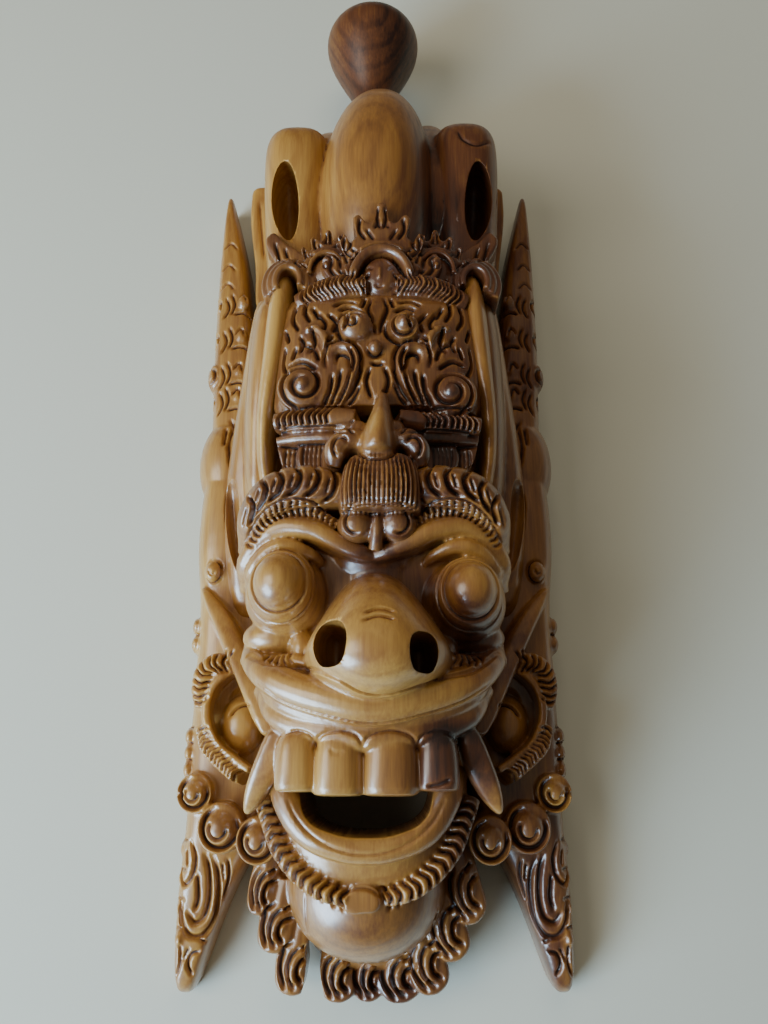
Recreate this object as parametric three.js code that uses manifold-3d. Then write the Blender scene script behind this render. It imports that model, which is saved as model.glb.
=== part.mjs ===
// Carved wooden barong mask with a tall crown, lying on its flat back.
// Millimetres. X runs across the mask, Y up it from beard to crown, Z out of its back.
// The origin is the middle of the back plane. Paired carving is made at +X and mirrored.
import * as THREE from "three";
import { mergeVertices } from "three/addons/utils/BufferGeometryUtils.js";
import Module from "manifold-3d";

const wasm = await Module();
wasm.setup();
const { Manifold } = wasm;

// Driving sizes
const LENGTH = 434; // beard to finial
const WIDTH = 145; // over the two ear panels
const TOP = LENGTH / 2;
const CHIN = -LENGTH / 2;
const EDGE = WIDTH / 2; // outer edge of an ear panel
const FACE_HALF = 45; // half the width of the face block
const FINIAL_RADIUS = 21.6;
const FINIAL_FOOT = 148;
const FINIAL_AXIS = 26; // height of its axis over the back
const JOINT_GAP = 0.3; // between the finial's foot and its seat
const TIDY = 1; // facets flatter than this are merged

// Heights of the carving out of the back plane
const TIARA_Z = 75;
const EYE_Z = 66;
const NOSE_TIP = 107;
const LIP_Z = 82;
const PANEL_Z = 28;

// The freehand carving wanders a little off the middle line
const FINIAL_SHIFT = -2;
const CROWN_SHIFT = 2;
const TIARA_SHIFT = 2.3;
const SMALL_HEAD_SHIFT = 1;
const NOSE_SHIFT = 1.2;
const JAW_SHIFT = -2;

// ---- Shaping tools ----

function toSolid(geometry) {
  const flat = geometry.index ? geometry.toNonIndexed() : geometry;
  const bare = new THREE.BufferGeometry();
  bare.setAttribute("position", flat.getAttribute("position"));
  const merged = mergeVertices(bare, 1e-4);
  const index = merged.index.array;
  const corners = [];
  for (let i = 0; i < index.length; i += 3) {
    const [a, b, c] = index.slice(i, i + 3);
    if (a !== b && b !== c && c !== a) corners.push(a, b, c);
  }
  const build = (triVerts) =>
    new Manifold(new wasm.Mesh({ numProp: 3, vertProperties: merged.attributes.position.array, triVerts }));
  const made = build(new Uint32Array(corners));
  return made.volume() < 0 ? build(new Uint32Array(corners.reverse())) : made;
}

const union = (solids) => Manifold.union([solids].flat(Infinity));
const bothSides = (solids) => [solids].flat(Infinity).flatMap((one) => [one, one.mirror([1, 0, 0])]);
const shifted = (distance, solids) => union(solids).translate([distance, 0, 0]);
const polar = (radius, degrees) => {
  const turn = THREE.MathUtils.degToRad(degrees);
  return [radius * Math.cos(turn), radius * Math.sin(turn)];
};

// Points on an arc round [x, y], from one angle to another, in degrees.
function arc([x, y, z], [radiusX, radiusY], from, to, count, rise = 0) {
  return Array.from({ length: count }, (_, i) => {
    const t = i / (count - 1);
    const [c, s] = polar(1, from + (to - from) * t);
    return [x + radiusX * c, y + radiusY * s, z + rise * t];
  });
}

function placed(geometry, at, turn) {
  const [rx, ry, rz] = turn.map(THREE.MathUtils.degToRad);
  geometry.applyMatrix4(new THREE.Matrix4().makeRotationFromEuler(new THREE.Euler(rx, ry, rz)));
  return toSolid(geometry.translate(...at));
}

// An ellipsoid with its poles along Y.
function ball(at, radii, { turn = [0, 0, 0], sides = 8, rings = 5 } = {}) {
  return placed(new THREE.SphereGeometry(1, sides, rings).scale(...radii), at, turn);
}

// A round turned form that stands along Z, from a profile of [radius, height] points.
function turned(at, profile, { turn = [0, 0, 0], sides = 10, oval = 1 } = {}) {
  const points = profile.map(([radius, height]) => new THREE.Vector2(radius, height));
  return placed(new THREE.LatheGeometry(points, sides).rotateX(Math.PI / 2).scale(1, oval, 1), at, turn);
}

// A flat board with an outline of [x, y] points, from z = low to z = high.
function board(outline, low, high, { smooth = false, bevel = 0, steps = outline.length * 2 } = {}) {
  const corners = outline.map(([x, y]) => new THREE.Vector2(x, y));
  const rounded = new THREE.SplineCurve([...corners, corners[0]]);
  const shape = new THREE.Shape(smooth ? rounded.getPoints(steps) : corners);
  const extruded = new THREE.ExtrudeGeometry(shape, {
    depth: high - low - bevel,
    steps: 1,
    bevelEnabled: bevel > 0,
    bevelThickness: bevel,
    bevelSize: bevel,
    bevelOffset: -bevel,
    bevelSegments: 1,
  });
  return toSolid(extruded.translate(0, 0, low));
}

// A closed skin over a row of rings that all have the same number of points.
function loft(rings) {
  const count = rings[0].length;
  const points = [];
  const face = (...corners) => points.push(...corners.flat());
  for (let ring = 0; ring + 1 < rings.length; ring++)
    for (let i = 0; i < count; i++) {
      const next = (i + 1) % count;
      face(rings[ring][i], rings[ring][next], rings[ring + 1][i]);
      face(rings[ring][next], rings[ring + 1][next], rings[ring + 1][i]);
    }
  const [first, last] = [rings[0], rings[rings.length - 1]];
  const middle = (ring) => [0, 1, 2].map((axis) => ring.reduce((sum, p) => sum + p[axis], 0) / count);
  for (let i = 0; i < count; i++) {
    const next = (i + 1) % count;
    face(middle(first), first[next], first[i]);
    face(middle(last), last[i], last[next]);
  }
  const geometry = new THREE.BufferGeometry();
  geometry.setAttribute("position", new THREE.Float32BufferAttribute(points, 3));
  return toSolid(geometry);
}

// Mixes a short list of values along a route, t from 0 to 1.
function mixAlong(values, t) {
  const place = t * (values.length - 1);
  const i = Math.min(Math.floor(place), values.length - 2);
  return values[i].map((low, k) => THREE.MathUtils.lerp(low, values[i + 1][k], place - i));
}

// A rod or ridge along a smooth route. Each size is [half width across the mask, half height].
// A pinch under 1 draws in every second ring, as on a twisted cord.
function rod(route, sizes, { sides = 5, steps = (route.length - 1) * 2, pinch = 1 } = {}) {
  const curve = new THREE.CatmullRomCurve3(route.map((p) => new THREE.Vector3(...p)));
  const out = new THREE.Vector3(0, 0, 1);
  const first = 90 + (sides % 2 ? 0 : 180 / sides);
  const rings = Array.from({ length: steps + 1 }, (_, step) => {
    const t = step / steps;
    const at = pinch < 1 ? curve.getPointAt(t) : curve.getPoint(t);
    const along = pinch < 1 ? curve.getTangentAt(t) : curve.getTangent(t);
    const across = new THREE.Vector3().crossVectors(along, out).normalize();
    const rise = new THREE.Vector3().crossVectors(across, along).normalize();
    const [width, height] = mixAlong(sizes, t);
    const draw = step % 2 ? 1 : pinch;
    return Array.from({ length: sides }, (_, i) => {
      const [c, s] = polar(draw, first + (i / sides) * 360);
      return at.clone().addScaledVector(across, width * c).addScaledVector(rise, height * s).toArray();
    });
  });
  return loft(rings);
}

// A row of ridges like a twisted cord.
function cord(route, count, size) {
  return rod(route, [size, size], { sides: 3, steps: 2 * count, pinch: 0.66 });
}

// A route that is the same on both sides, from its middle point and the points right of it.
function bow([middle, ...right]) {
  const left = right.map(([x, y, z]) => [-x, y, z]).reverse();
  return [...left, middle, ...right];
}

// A low crest of relief that tapers to its end.
function crest(route, width, height, { steps = (route.length - 1) * 2 } = {}) {
  const sizes = [[width * 0.7, height], [width, height], [width * 0.4, height * 0.7]];
  return rod(route, sizes, { sides: 3, steps });
}

// A curl: a crest wound inwards.
function curl([x, y, z], radius, turns, thick, { start = 0, hand = 1, rise = 2 } = {}) {
  const steps = Math.round(turns * 7);
  const route = Array.from({ length: steps + 1 }, (_, i) => {
    const t = i / steps;
    const [c, s] = polar(radius * (1 - 0.86 * t), start + hand * t * turns * 360);
    return [x + c, y + s, z + rise * t];
  });
  return crest(route, thick, thick * 1.6, { steps });
}

// A block with a flat back and a domed front, lofted along Y. Square 2 is an ellipse, and more is boxier.
function block(stations, { sides = 10 } = {}) {
  return loft(
    stations.map(({ y, half, high, low = 0, middle = 0, square = 3 }) =>
      Array.from({ length: sides + 1 }, (_, i) => {
        const [c, s] = polar(1, (i / sides) * 180);
        const across = Math.sign(c) * Math.abs(c) ** (2 / square);
        return [middle + half * across, y, low + (high - low) * Math.abs(s) ** (2 / square)];
      }),
    ),
  );
}

// A carved leaf: a plump lobe that lies along a heading in degrees.
function leaf([x, y, z], length, width, heading, { thick = 4, lift = 2, blunt = 0.1 } = {}) {
  const reach = (share, up) => {
    const [c, s] = polar(length * share, heading);
    return [x + c, y + s, z + up];
  };
  const half = width / 2;
  const sizes = [
    [half * 0.6, thick],
    [half * 1.1, thick],
    [half * 0.9, thick * 0.8],
    [half * blunt, thick * blunt],
  ];
  return rod([reach(0, 0), reach(0.5, lift), reach(1, lift * 0.4)], sizes, { sides: 4, steps: 3 });
}

// ---- Body of the mask ----

// The log that the rest is cut from: chin, face, forehead and the foot of the crown.
function headBlock() {
  return block([
    { y: -214, half: 12, high: 17, square: 2.4 },
    { y: -200, half: 28, high: 25, square: 2.4 },
    { y: -176, half: 36, high: 32, square: 2.6 },
    { y: -152, half: 35, high: 50, square: 2.8 },
    { y: -133, half: 37, high: 68, square: 3.2 },
    { y: -116, half: FACE_HALF - 3, high: 72, square: 3.6 },
    { y: -66, half: FACE_HALF, high: 71, square: 4 },
    { y: -48, half: FACE_HALF + 3, high: 74, square: 3.2 },
    { y: -8, half: FACE_HALF + 5, high: 77, square: 3 },
    { y: 30, half: FACE_HALF + 4, high: 73, square: 3 },
    { y: 46, half: FACE_HALF, high: 56, square: 2.6 },
    { y: 84, half: 42, high: 46, square: 2.4 },
    { y: 122, half: 36, high: 36, square: 2.4 },
  ]);
}

// One ear panel with its upper and lower spike. Each station is [y, inner edge, outer edge, height].
function earPanel() {
  const stations = [
    [117, 67, 70, 20],
    [96, 62, 70.5, 24],
    [56, 55, EDGE - 0.5, 28],
    [16, 51, EDGE, 30],
    [-8, 46, EDGE - 1.5, 28],
    [-30, 40, EDGE, 33],
    [-60, 40, EDGE, 34],
    [-74, 40, EDGE - 3, 31],
    [-136, 30, EDGE - 1, PANEL_Z],
    [-160, 36, EDGE - 2, 26],
    [-178, 50, EDGE - 1, 21],
    [-206, 61, EDGE - 1.5, 15],
    [-217, 65.5, EDGE - 4, 9],
  ];
  return loft(
    stations.map(([y, inner, outer, high]) => {
      const at = (share, z) => [inner + share * (outer - inner), y, z];
      const top = [at(0.84, high * 0.94), at(0.5, high), at(0.14, high * 0.9)];
      return [at(0.1, 0), at(0.9, 0), at(1, high * 0.45), ...top, at(0, high * 0.5)];
    }),
  );
}

// A lump on the outer edge of a panel.
function scallop(y) {
  return crest([[EDGE - 4, y + 6, 20], [EDGE - 2, y, 19.5], [EDGE - 4, y - 6, 20]], 2, 6, { steps: 2 });
}

// Leaves, lumps and a crest up an upper spike, and the plump shoulder under them.
function spikeCarving() {
  const rows = [44, 22, 0];
  return [
    rows.map((y) => leaf([64, y, 27], 15, 8, 252, { thick: 3 })),
    rows.map((y) => scallop(y + 6)),
    crest([[61, 84, 24], [67, 70, 27], [62, 56, 27]], 1.8, 3, { steps: 3 }),
    ball([61, -27, 24], [10.5, 19, 13], { rings: 6 }),
  ];
}

// A long leaf with a nested leaf in it, and two more down a lower spike.
function lowerSpikeCarving() {
  const scroll = [[54, -166, 21], [58, -180, 22], [66, -190, 19], [69.5, -180, 20], [67, -168, 22]];
  return [
    crest(scroll, 2.4, 4, { steps: 7 }),
    leaf([62, -163, 22], 19, 5.5, 286, { thick: 3.4 }),
    leaf([69, -188, 17], 15, 6, 258, { thick: 3 }),
    crest([[68, -192, 16], [64, -203, 15], [67, -213, 12]], 1.6, 3, { steps: 4 }),
  ];
}

// ---- Crown ----

// Three big buds, with two more behind them and a flat plate at each side.
function crown() {
  const front = ball([0, 82, 58], [22.5, 52, 28], { sides: 14, rings: 8 });
  const side = rod([[37, 36, 36], [36, 80, 42], [35, 112, 42], [34.5, 126, 41]],
    [[13, 17], [14.8, 21], [14.6, 20], [10, 12]], { sides: 10, steps: 6 });
  const rear = ball([24, 100, 34], [10, 38, 17]);
  const plate = board([[42, 50], [48, 50], [57, 112], [54, 116], [43, 114]], 12, 27);
  return [front, bothSides([side, rear, plate])];
}

function finialSeat() {
  return rod([[0, 100, FINIAL_AXIS], [0, 124, FINIAL_AXIS], [0, FINIAL_FOOT - JOINT_GAP, FINIAL_AXIS]],
    [[15, 15], [12, 12], [10.5, 10.5]], { sides: 8, steps: 2 });
}

// The deep oval hollow in the outer side of each side bud.
function budHollow() {
  return ball([40, 84, 52], [7.4, 18, 17], { turn: [0, 16, -4], sides: 7, rings: 6 });
}

// An arch of the tiara: a board cut to a flame of leaves, with a raised rim round its field.
function tiaraArch([x, y, z], radius, tall) {
  const flame = [[-1.5, 0], [-1.35, 0.45], [-1.05, 0.5], [-0.85, 0.75], [-0.5, 0.7], [-0.3, 0.85], [0, 1]];
  const outline = [...flame, ...flame.slice(0, -1).reverse().map(([across, up]) => [-across, up])];
  const back = board(outline.map(([across, up]) => [x + across * radius, y + up * tall]), z - 18, z);
  const rimSize = [radius * 0.16, 4];
  const rimRoute = arc([x, y - 1, z], [radius, radius * 1.15], -8, 188, 7);
  const rim = rod(rimRoute, [rimSize, rimSize], { sides: 4, steps: 6 });
  const tip = leaf([x, y + radius * 1.15, z], (tall - radius) * 0.85, radius * 0.6, 90, { thick: 2.6 });
  return [back, rim, tip];
}

function tiara() {
  const face = [
    ball([0, 35, TIARA_Z + 5], [8.6, 9, 6], { sides: 8, rings: 5 }),
    crest([[0, 41, TIARA_Z + 9], [0, 36, TIARA_Z + 11], [0, 32, TIARA_Z + 10]], 1.5, 2, { steps: 2 }),
  ];
  const corner = [
    leaf([33, 42, 59], 26, 11, 58, { thick: 8 }),
    leaf([46, 34, 50], 22, 9, 78, { thick: 5 }),
  ];
  const hoodRoute = arc([35.5, 30, 71], [9.5, 13], -10, 190, 5);
  const hood = rod(hoodRoute, [[2.2, 6], [2.2, 6]], { sides: 4, steps: 5 });
  const cordRow = cord([[4, 28, 84], [16, 28.5, 82.5], [29, 25.5, 76]], 10, [5, 5]);
  const boss = ball([0, 27.5, 84], [5, 4.6, 4.6], { sides: 6, rings: 4 });
  const centre = tiaraArch([0, 32, TIARA_Z + 5], 12.5, 36);
  const sideLeaf = leaf([9, 44, TIARA_Z + 5], 11, 6.5, 52, { thick: 2.6 });
  const sideArch = tiaraArch([21, 40, TIARA_Z - 3], 7, 21);
  return [centre, face, boss, bothSides([sideLeaf, sideArch, corner, hood, cordRow])];
}

// ---- The small horned head on the forehead ----

function smallHead() {
  const skull = block([
    { y: 28, half: 26, high: 74, low: 50, square: 2.6 },
    { y: 18, half: 32, high: 83, low: 50, square: 2.8 },
    { y: -24, half: 35, high: 86, low: 50, square: 2.8 },
    { y: -34, half: 33, high: 78, low: 50, square: 2.8 },
    { y: -50, half: 30, high: 72, low: 50, square: 2.8 },
  ], { sides: 8 });
  const noseRoute = [[1, -14, 88], [0, -34, 96], [0, -43, 94]];
  const nose = rod(noseRoute, [[1.6, 5], [6.2, 10], [5.6, 7]], { sides: 6, steps: 4 });
  const lipRoute = [[8, -26, 85], [20, -24, 83], [35, -22, 76]];
  const lip = rod(lipRoute, [[4.2, 6], [4.2, 6]], { sides: 3, steps: 10, pinch: 0.7 });
  const lowerLip = crest([[6, -33, 86], [20, -31, 82], [35, -28, 75]], 3, 6, { steps: 2 });
  const eyeProfile = [[0, -6], [6.2, -6], [6.2, 3.4], [4.2, 3.4], [3.8, 8], [0, 10]];
  const eye = turned([8, 9, 83], eyeProfile, { sides: 7 });
  const knob = ball([0, -2, 86], [3, 3, 4], { sides: 6, rings: 4 });
  const moustache = ball([12, -37.5, 86], [4.4, 6, 7], { sides: 6, rings: 4 });
  const scrolls = [
    curl([26, -12, 78], 9, 1.2, 2, { start: 150, hand: -1, rise: 5 }),
    crest([[16, 4, 83], [19, -8, 84], [14, -21, 85]], 2.2, 4),
    crest([[6, 0, 85], [12, -8, 86], [6.5, -22, 87]], 2, 3.6),
    crest([[13, 4, 84], [20, 14, 81], [27, 16, 78]], 2, 3.6, { steps: 3 }),
  ];
  return [skull, nose, smallBeard(), knob, bothSides([lip, lowerLip, eye, moustache, scrolls])];
}

// The fluted beard of the small head, wider at its foot.
function smallBeard() {
  const flutes = 7;
  const section = (y, half, high) =>
    Array.from({ length: flutes * 2 + 1 }, (_, i) => {
      const t = i / flutes - 1;
      return [half * t, y, high - 5 * t * t - (i % 2 ? 0 : 1.8)];
    }).concat([[half, y, 66], [-half, y, 66]]);
  return loft([section(-42, 11, 96), section(-49, 12.4, 98.5), section(-57.5, 11.8, 93)]);
}

// The long smooth horns that frame the small head.
function horn() {
  return rod([[34, 31, 71], [36, 16, 75], [37, -4, 75], [41.5, -26, 68], [41, -46, 61]],
    [[5, 8], [5.4, 11], [4.6, 11], [3.2, 12], [2.6, 11]], { sides: 6, steps: 6 });
}

// The dark undercut between a horn and the small head.
function hornUndercut() {
  const route = [[33, -8, 88], [35.5, -26, 80], [33, -44, 78]];
  return rod(route, [[1.2, 10], [3.6, 16], [3.6, 14]], { steps: 3 });
}

// ---- The great face ----

// The brow: its rolled lid, a curl at its inner end and a row of hair scales over it.
function brow() {
  const lid = rod([[44.5, -78, 58], [40, -67, 66], [29, -63, 73], [16, -68, 76], [4, -71, 79]],
    [[2.4, 6], [3.6, 11], [3.6, 11], [2.8, 10], [2.6, 9]], { steps: 8 });
  const centreCurl = ball([7, -61, 84], [5.6, 5.4, 6], { sides: 6, rings: 4 });
  const hair = rod([[12, -59, 80], [22, -54, 80], [33, -52, 75], [44, -58, 64]],
    [[7, 6], [7, 6]], { steps: 12, pinch: 0.76 });
  return [lid, centreCurl, hair];
}

function eye() {
  const profile = [[0, -10], [15, -10], [14.6, 7], [12.4, 10], [10.2, 10], [9.8, 15], [7.4, 20], [0, 23.5]];
  return turned([26, -81.5, EYE_Z], profile, { turn: [0, 14, 0], sides: 12, oval: 1.08 });
}

function nose() {
  const low = 60;
  return block([
    { y: -78, half: 7, high: 88, low, square: 2 },
    { y: -84, half: 12, high: 96, low, square: 2 },
    { y: -95, half: 18, high: NOSE_TIP - 3, low, square: 2 },
    { y: -104, half: 23, high: NOSE_TIP, low, square: 2.2 },
    { y: -112, half: 20, high: NOSE_TIP - 4, low, square: 2.2 },
    { y: -118, half: 10, high: 92, low, square: 2 },
  ], { sides: 12 });
}

function nostril() {
  const profile = [[0, 0], [4.6, 0], [5.2, 36], [0, 36]];
  return turned([14, -105, NOSE_TIP - 32], profile, { turn: [8, 3, 0], sides: 8, oval: 1.3 });
}

function upperLip() {
  const [end, full] = [[2, 4], [4.7, 9]];
  const lipRight = [[19, -118, LIP_Z - 3], [37, -108, LIP_Z - 14], [44, -98, LIP_Z - 26]];
  const lipRoute = bow([[0, -122, LIP_Z], ...lipRight]);
  const lip = rod(lipRoute, [end, full, full, full, full, full, end], { sides: 6, steps: 12 });
  const gumRoute = bow([[0, -129, LIP_Z - 4], [18, -126, LIP_Z - 7], [38, -116, LIP_Z - 22]]);
  const gum = rod(gumRoute, [[3, 7], [4, 8], [4, 8], [4, 8], [3, 7]], { steps: 8 });
  return [lip, gum];
}

function teeth() {
  const tooth = (x, half, high) =>
    block([
      { y: -130, half: half * 0.6, high: high - 4, low: 60, middle: x, square: 3 },
      { y: -133.5, half: half * 0.95, high, low: 60, middle: x },
      { y: -146.5, half, high: high - 1, low: 62, middle: x },
    ], { sides: 6 });
  return bothSides([tooth(7.4, 7.5, LIP_Z + 2), tooth(21.4, 6.6, LIP_Z - 3)]);
}

// A broad corner tusk that runs down and out from the end of the tooth row.
function tusk() {
  const route = [[30.5, -126, 60], [33, -136, 60], [38.5, -151, 56]];
  return rod(route, [[3, 12], [5, 13], [0.8, 2]], { steps: 4 });
}

function lowerJaw() {
  const route = bow([[0, -166, 61], [14, -164, 60], [28, -156, 56], [35, -143, 50]]);
  const [end, full] = [[3, 6], [4.6, 7]];
  const lip = rod(route, [end, full, full, full, full, full, end], { sides: 6, steps: 12 });
  const chin = ball([0, -182, 30], [26, 21, 26], { sides: 12, rings: 6 });
  const bossOutline = [[-7, -179.5], [-5, -183], [5, -183], [7, -179.5], [5, -176.5], [-5, -176.5]];
  const boss = board(bossOutline, 44, 60.5);
  const cordRow = cord([[7, -178.5, 55], [22, -172, 51], [30.5, -163, 47], [34, -151, 43]], 12, [4.6, 6]);
  return [lip, chin, boss, bothSides(cordRow)];
}

// The open mouth, cut through the jaw into the hollow of the mask.
function mouthCut() {
  const outline = bow([[0, -160.5], [15, -157.5], [22, -149], [21.5, -140]]);
  return board(outline, 20, 90, { smooth: true, steps: 10 });
}

// The leaf fringe of the beard, fanned round the chin.
function beardFringe() {
  const count = 11;
  const roundEnd = 1.43; // how far a lobe's end reaches past its route
  const reach = -172 - CHIN - roundEnd;
  return Array.from({ length: count }, (_, i) => {
    const t = (i / (count - 1)) * 2 - 1;
    const [c, s] = polar(1, -90 + 84 * t);
    const foot = [27 * c, -172 + 27 * s, 26];
    const tip = [39.5 * c + 2 * t, -172 + reach * s - 6 * Math.abs(t), 22];
    const mid = foot.map((value, k) => (value + tip[k]) / 2 + (k === 2 ? 3 : 0));
    return rod([foot, mid, tip], [[5, 8], [7.8, 9], [7.6, 8], [3, 4]], { sides: 4, steps: 3 });
  });
}

// ---- Ears, cheek straps and curls ----

function ear() {
  const centre = [48, -121, 32];
  return [
    rod(arc(centre, [13, 18.5], -118, 118, 7), [[1.5, 5], [2, 6], [1.5, 5]], { sides: 4, steps: 8 }),
    turned([46, -121, 24], [[0, 0], [8.4, 0], [8.4, 6.5], [0, 8]], { sides: 8 }),
    cord(arc(centre, [17.5, 23.5], 16, 92, 5), 8, [3.6, 3.6]),
    cord(arc([48, -121, 30], [17.5, 24.5], -20, -104, 5), 10, [3.6, 4.6]),
  ];
}

function earHollow() {
  return ball([48, -121, 36], [11.5, 16, 11], { sides: 8, rings: 5 });
}

// The thin strap that stands up between an ear and the mouth, down to the tusk.
function cheekStrap() {
  return rod([[63.5, -79, 27], [56, -88, 31], [47.5, -103, 34], [36, -128, 42]],
    [[1.6, 7], [2, 11], [2.6, 16], [3.8, 19]], { steps: 5 });
}

// Three ringed curls under each ear.
function ringCurls() {
  const places = [[65, -147, 31, 6.4], [54.7, -159, 34, 8.2], [39.5, -163, 39, 7.6]];
  return places.map(([x, y, z, radius]) => {
    const ring = [[radius, -20], [radius, 0.5], [radius * 0.62, -1.5], [radius * 0.4, 2.5]];
    return turned([x, y, z], [[0, -20], ...ring, [0, 3]], { sides: 7 });
  });
}

// The shelf beside the brow, and the tapering gouge in it, deepest at its top.
function browShelf() {
  return block([
    { y: -84, half: 8, high: 34, middle: 50 },
    { y: -66, half: 12, high: 41, middle: 52 },
    { y: -34, half: 13, high: 42, middle: 51 },
    { y: 6, half: 8, high: 50, middle: 45 },
    { y: 36, half: 6, high: 56, middle: 44 },
  ], { sides: 6 });
}

function browGouge() {
  const route = [[54.5, -38, 46], [53, -52, 44], [50, -76, 41]];
  return rod(route, [[6.2, 8], [5, 7], [0.6, 1.5]], { sides: 6, steps: 4 });
}

// The ringed knob on a panel, the cheek by the nose, and scallops down the panel's edge.
function panelTrim() {
  return [
    turned([62.5, -69, 28], [[0, 0], [5, 0], [4.6, 8], [2.4, 6.5], [0, 9]], { sides: 8, oval: 1.3 }),
    ball([33, -101, 62], [12, 11, 14]),
    [-86, -133].map(scallop),
  ];
}

// ---- Hollow back and the split ----

function backHollow() {
  const low = -1;
  return block([
    { y: -172, half: 12, high: 14, low, square: 2.4 },
    { y: -156, half: 24, high: 34, low, square: 2.6 },
    { y: -130, half: 28, high: 48, low },
    { y: -60, half: 32, high: 54, low },
    { y: 10, half: 33, high: 54, low },
    { y: 36, half: 27, high: 36, low, square: 2.6 },
    { y: 56, half: 14, high: 14, low, square: 2.4 },
  ], { sides: 8 });
}

// The drying split through the beard, left of its middle.
function beardSplit() {
  return board([[-22.6, -198], [-19, -198], [-19.4, -225], [-23, -225]], 6, 60);
}

// ---- Assembly ----

function carvedMask() {
  const paired = [
    earPanel(),
    spikeCarving(),
    lowerSpikeCarving(),
    browShelf(),
    horn(),
    brow(),
    eye(),
    panelTrim(),
    ringCurls(),
  ];
  const blocks = union([
    headBlock(),
    finialSeat().translate([FINIAL_SHIFT, 0, 0]),
    shifted(CROWN_SHIFT, crown()),
    shifted(TIARA_SHIFT, tiara()),
    shifted(SMALL_HEAD_SHIFT, smallHead()),
    shifted(NOSE_SHIFT, nose()),
    shifted(JAW_SHIFT, [lowerJaw(), beardFringe()]),
    upperLip(),
    bothSides(paired),
  ]);
  const cuts = union([
    shifted(JAW_SHIFT, mouthCut()),
    beardSplit(),
    shifted(CROWN_SHIFT, bothSides(budHollow())),
    shifted(NOSE_SHIFT, bothSides(nostril())),
    bothSides([hornUndercut(), earHollow(), browGouge()]),
  ]);
  const setIn = union([shifted(JAW_SHIFT, teeth()), bothSides([tusk(), cheekStrap(), ear()])]);
  const [reach, low] = [EDGE + 9, CHIN - 9];
  const under = board([[-reach, low], [reach, low], [reach, TOP], [-reach, TOP]], -40, 0);
  const carved = blocks.subtract(cuts).add(setIn).subtract(union([under, backHollow()]));
  const [whole] = carved.asOriginal().simplify(TIDY).decompose().sort((a, b) => b.volume() - a.volume());
  return whole;
}

// The club-shaped finial, a separate knob of darker wood on the crown's seat.
function finial() {
  const neck = FINIAL_RADIUS / 2;
  const profile = [
    [0, FINIAL_FOOT],
    [neck, FINIAL_FOOT],
    [neck, 157],
    [neck + 2, 167],
    [FINIAL_RADIUS - 4, 178],
    [FINIAL_RADIUS, 190],
    [FINIAL_RADIUS, 200],
    [FINIAL_RADIUS - 3.6, 209],
    [neck, 215],
    [0, TOP],
  ];
  const points = profile.map(([radius, height]) => new THREE.Vector2(radius, height));
  return toSolid(new THREE.LatheGeometry(points, 16)).translate([FINIAL_SHIFT, 0, FINIAL_AXIS]);
}

function toGeometry(solid) {
  const { numProp, vertProperties, triVerts, numVert } = solid.getMesh();
  const positions = new Float32Array(numVert * 3);
  for (let i = 0; i < numVert; i++) {
    const start = i * numProp;
    positions.set(vertProperties.subarray(start, start + 3), i * 3);
  }
  const geometry = new THREE.BufferGeometry();
  geometry.setAttribute("position", new THREE.BufferAttribute(positions, 3));
  geometry.setIndex(new THREE.BufferAttribute(triVerts, 1));
  geometry.computeVertexNormals();
  return geometry;
}

function piece(name, solid, color, roughness) {
  const material = new THREE.MeshStandardMaterial({ color, roughness, metalness: 0 });
  const mesh = new THREE.Mesh(toGeometry(solid), material);
  mesh.name = name;
  return mesh;
}

const mask = new THREE.Group();
mask.add(piece("carved_mask", carvedMask(), 0x9a5f2c, 0.4));
mask.add(piece("crown_finial", finial(), 0x6b3a26, 0.55));

export default mask;
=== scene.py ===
import math

import bpy
import numpy as np
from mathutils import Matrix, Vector
from mathutils.kdtree import KDTree


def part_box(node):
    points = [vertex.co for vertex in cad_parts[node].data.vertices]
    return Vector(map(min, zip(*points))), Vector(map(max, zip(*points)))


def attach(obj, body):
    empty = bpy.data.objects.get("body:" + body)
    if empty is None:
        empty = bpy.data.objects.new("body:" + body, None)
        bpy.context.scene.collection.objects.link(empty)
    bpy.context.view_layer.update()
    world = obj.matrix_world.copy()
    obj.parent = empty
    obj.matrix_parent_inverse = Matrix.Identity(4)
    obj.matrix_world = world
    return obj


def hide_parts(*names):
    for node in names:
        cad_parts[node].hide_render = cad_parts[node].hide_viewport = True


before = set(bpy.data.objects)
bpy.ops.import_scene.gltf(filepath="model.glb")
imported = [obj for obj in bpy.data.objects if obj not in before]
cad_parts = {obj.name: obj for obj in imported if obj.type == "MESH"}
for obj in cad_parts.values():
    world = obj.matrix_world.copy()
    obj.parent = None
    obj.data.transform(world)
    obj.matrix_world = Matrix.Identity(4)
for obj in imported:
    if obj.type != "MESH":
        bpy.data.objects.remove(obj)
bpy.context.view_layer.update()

# Sizes, taken from the frame and brought to millimetres
MM = 0.001
MASK_LOW, MASK_HIGH = (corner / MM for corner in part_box("carved_mask"))
FINIAL_LOW, FINIAL_HIGH = (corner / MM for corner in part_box("crown_finial"))
EDGE = MASK_HIGH.x  # outer edge of an ear panel
CHIN = MASK_LOW.y  # lowest point of the beard
SIDES = (-1, 1)
SIDE_NAMES = {-1: "left", 1: "right"}

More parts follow.
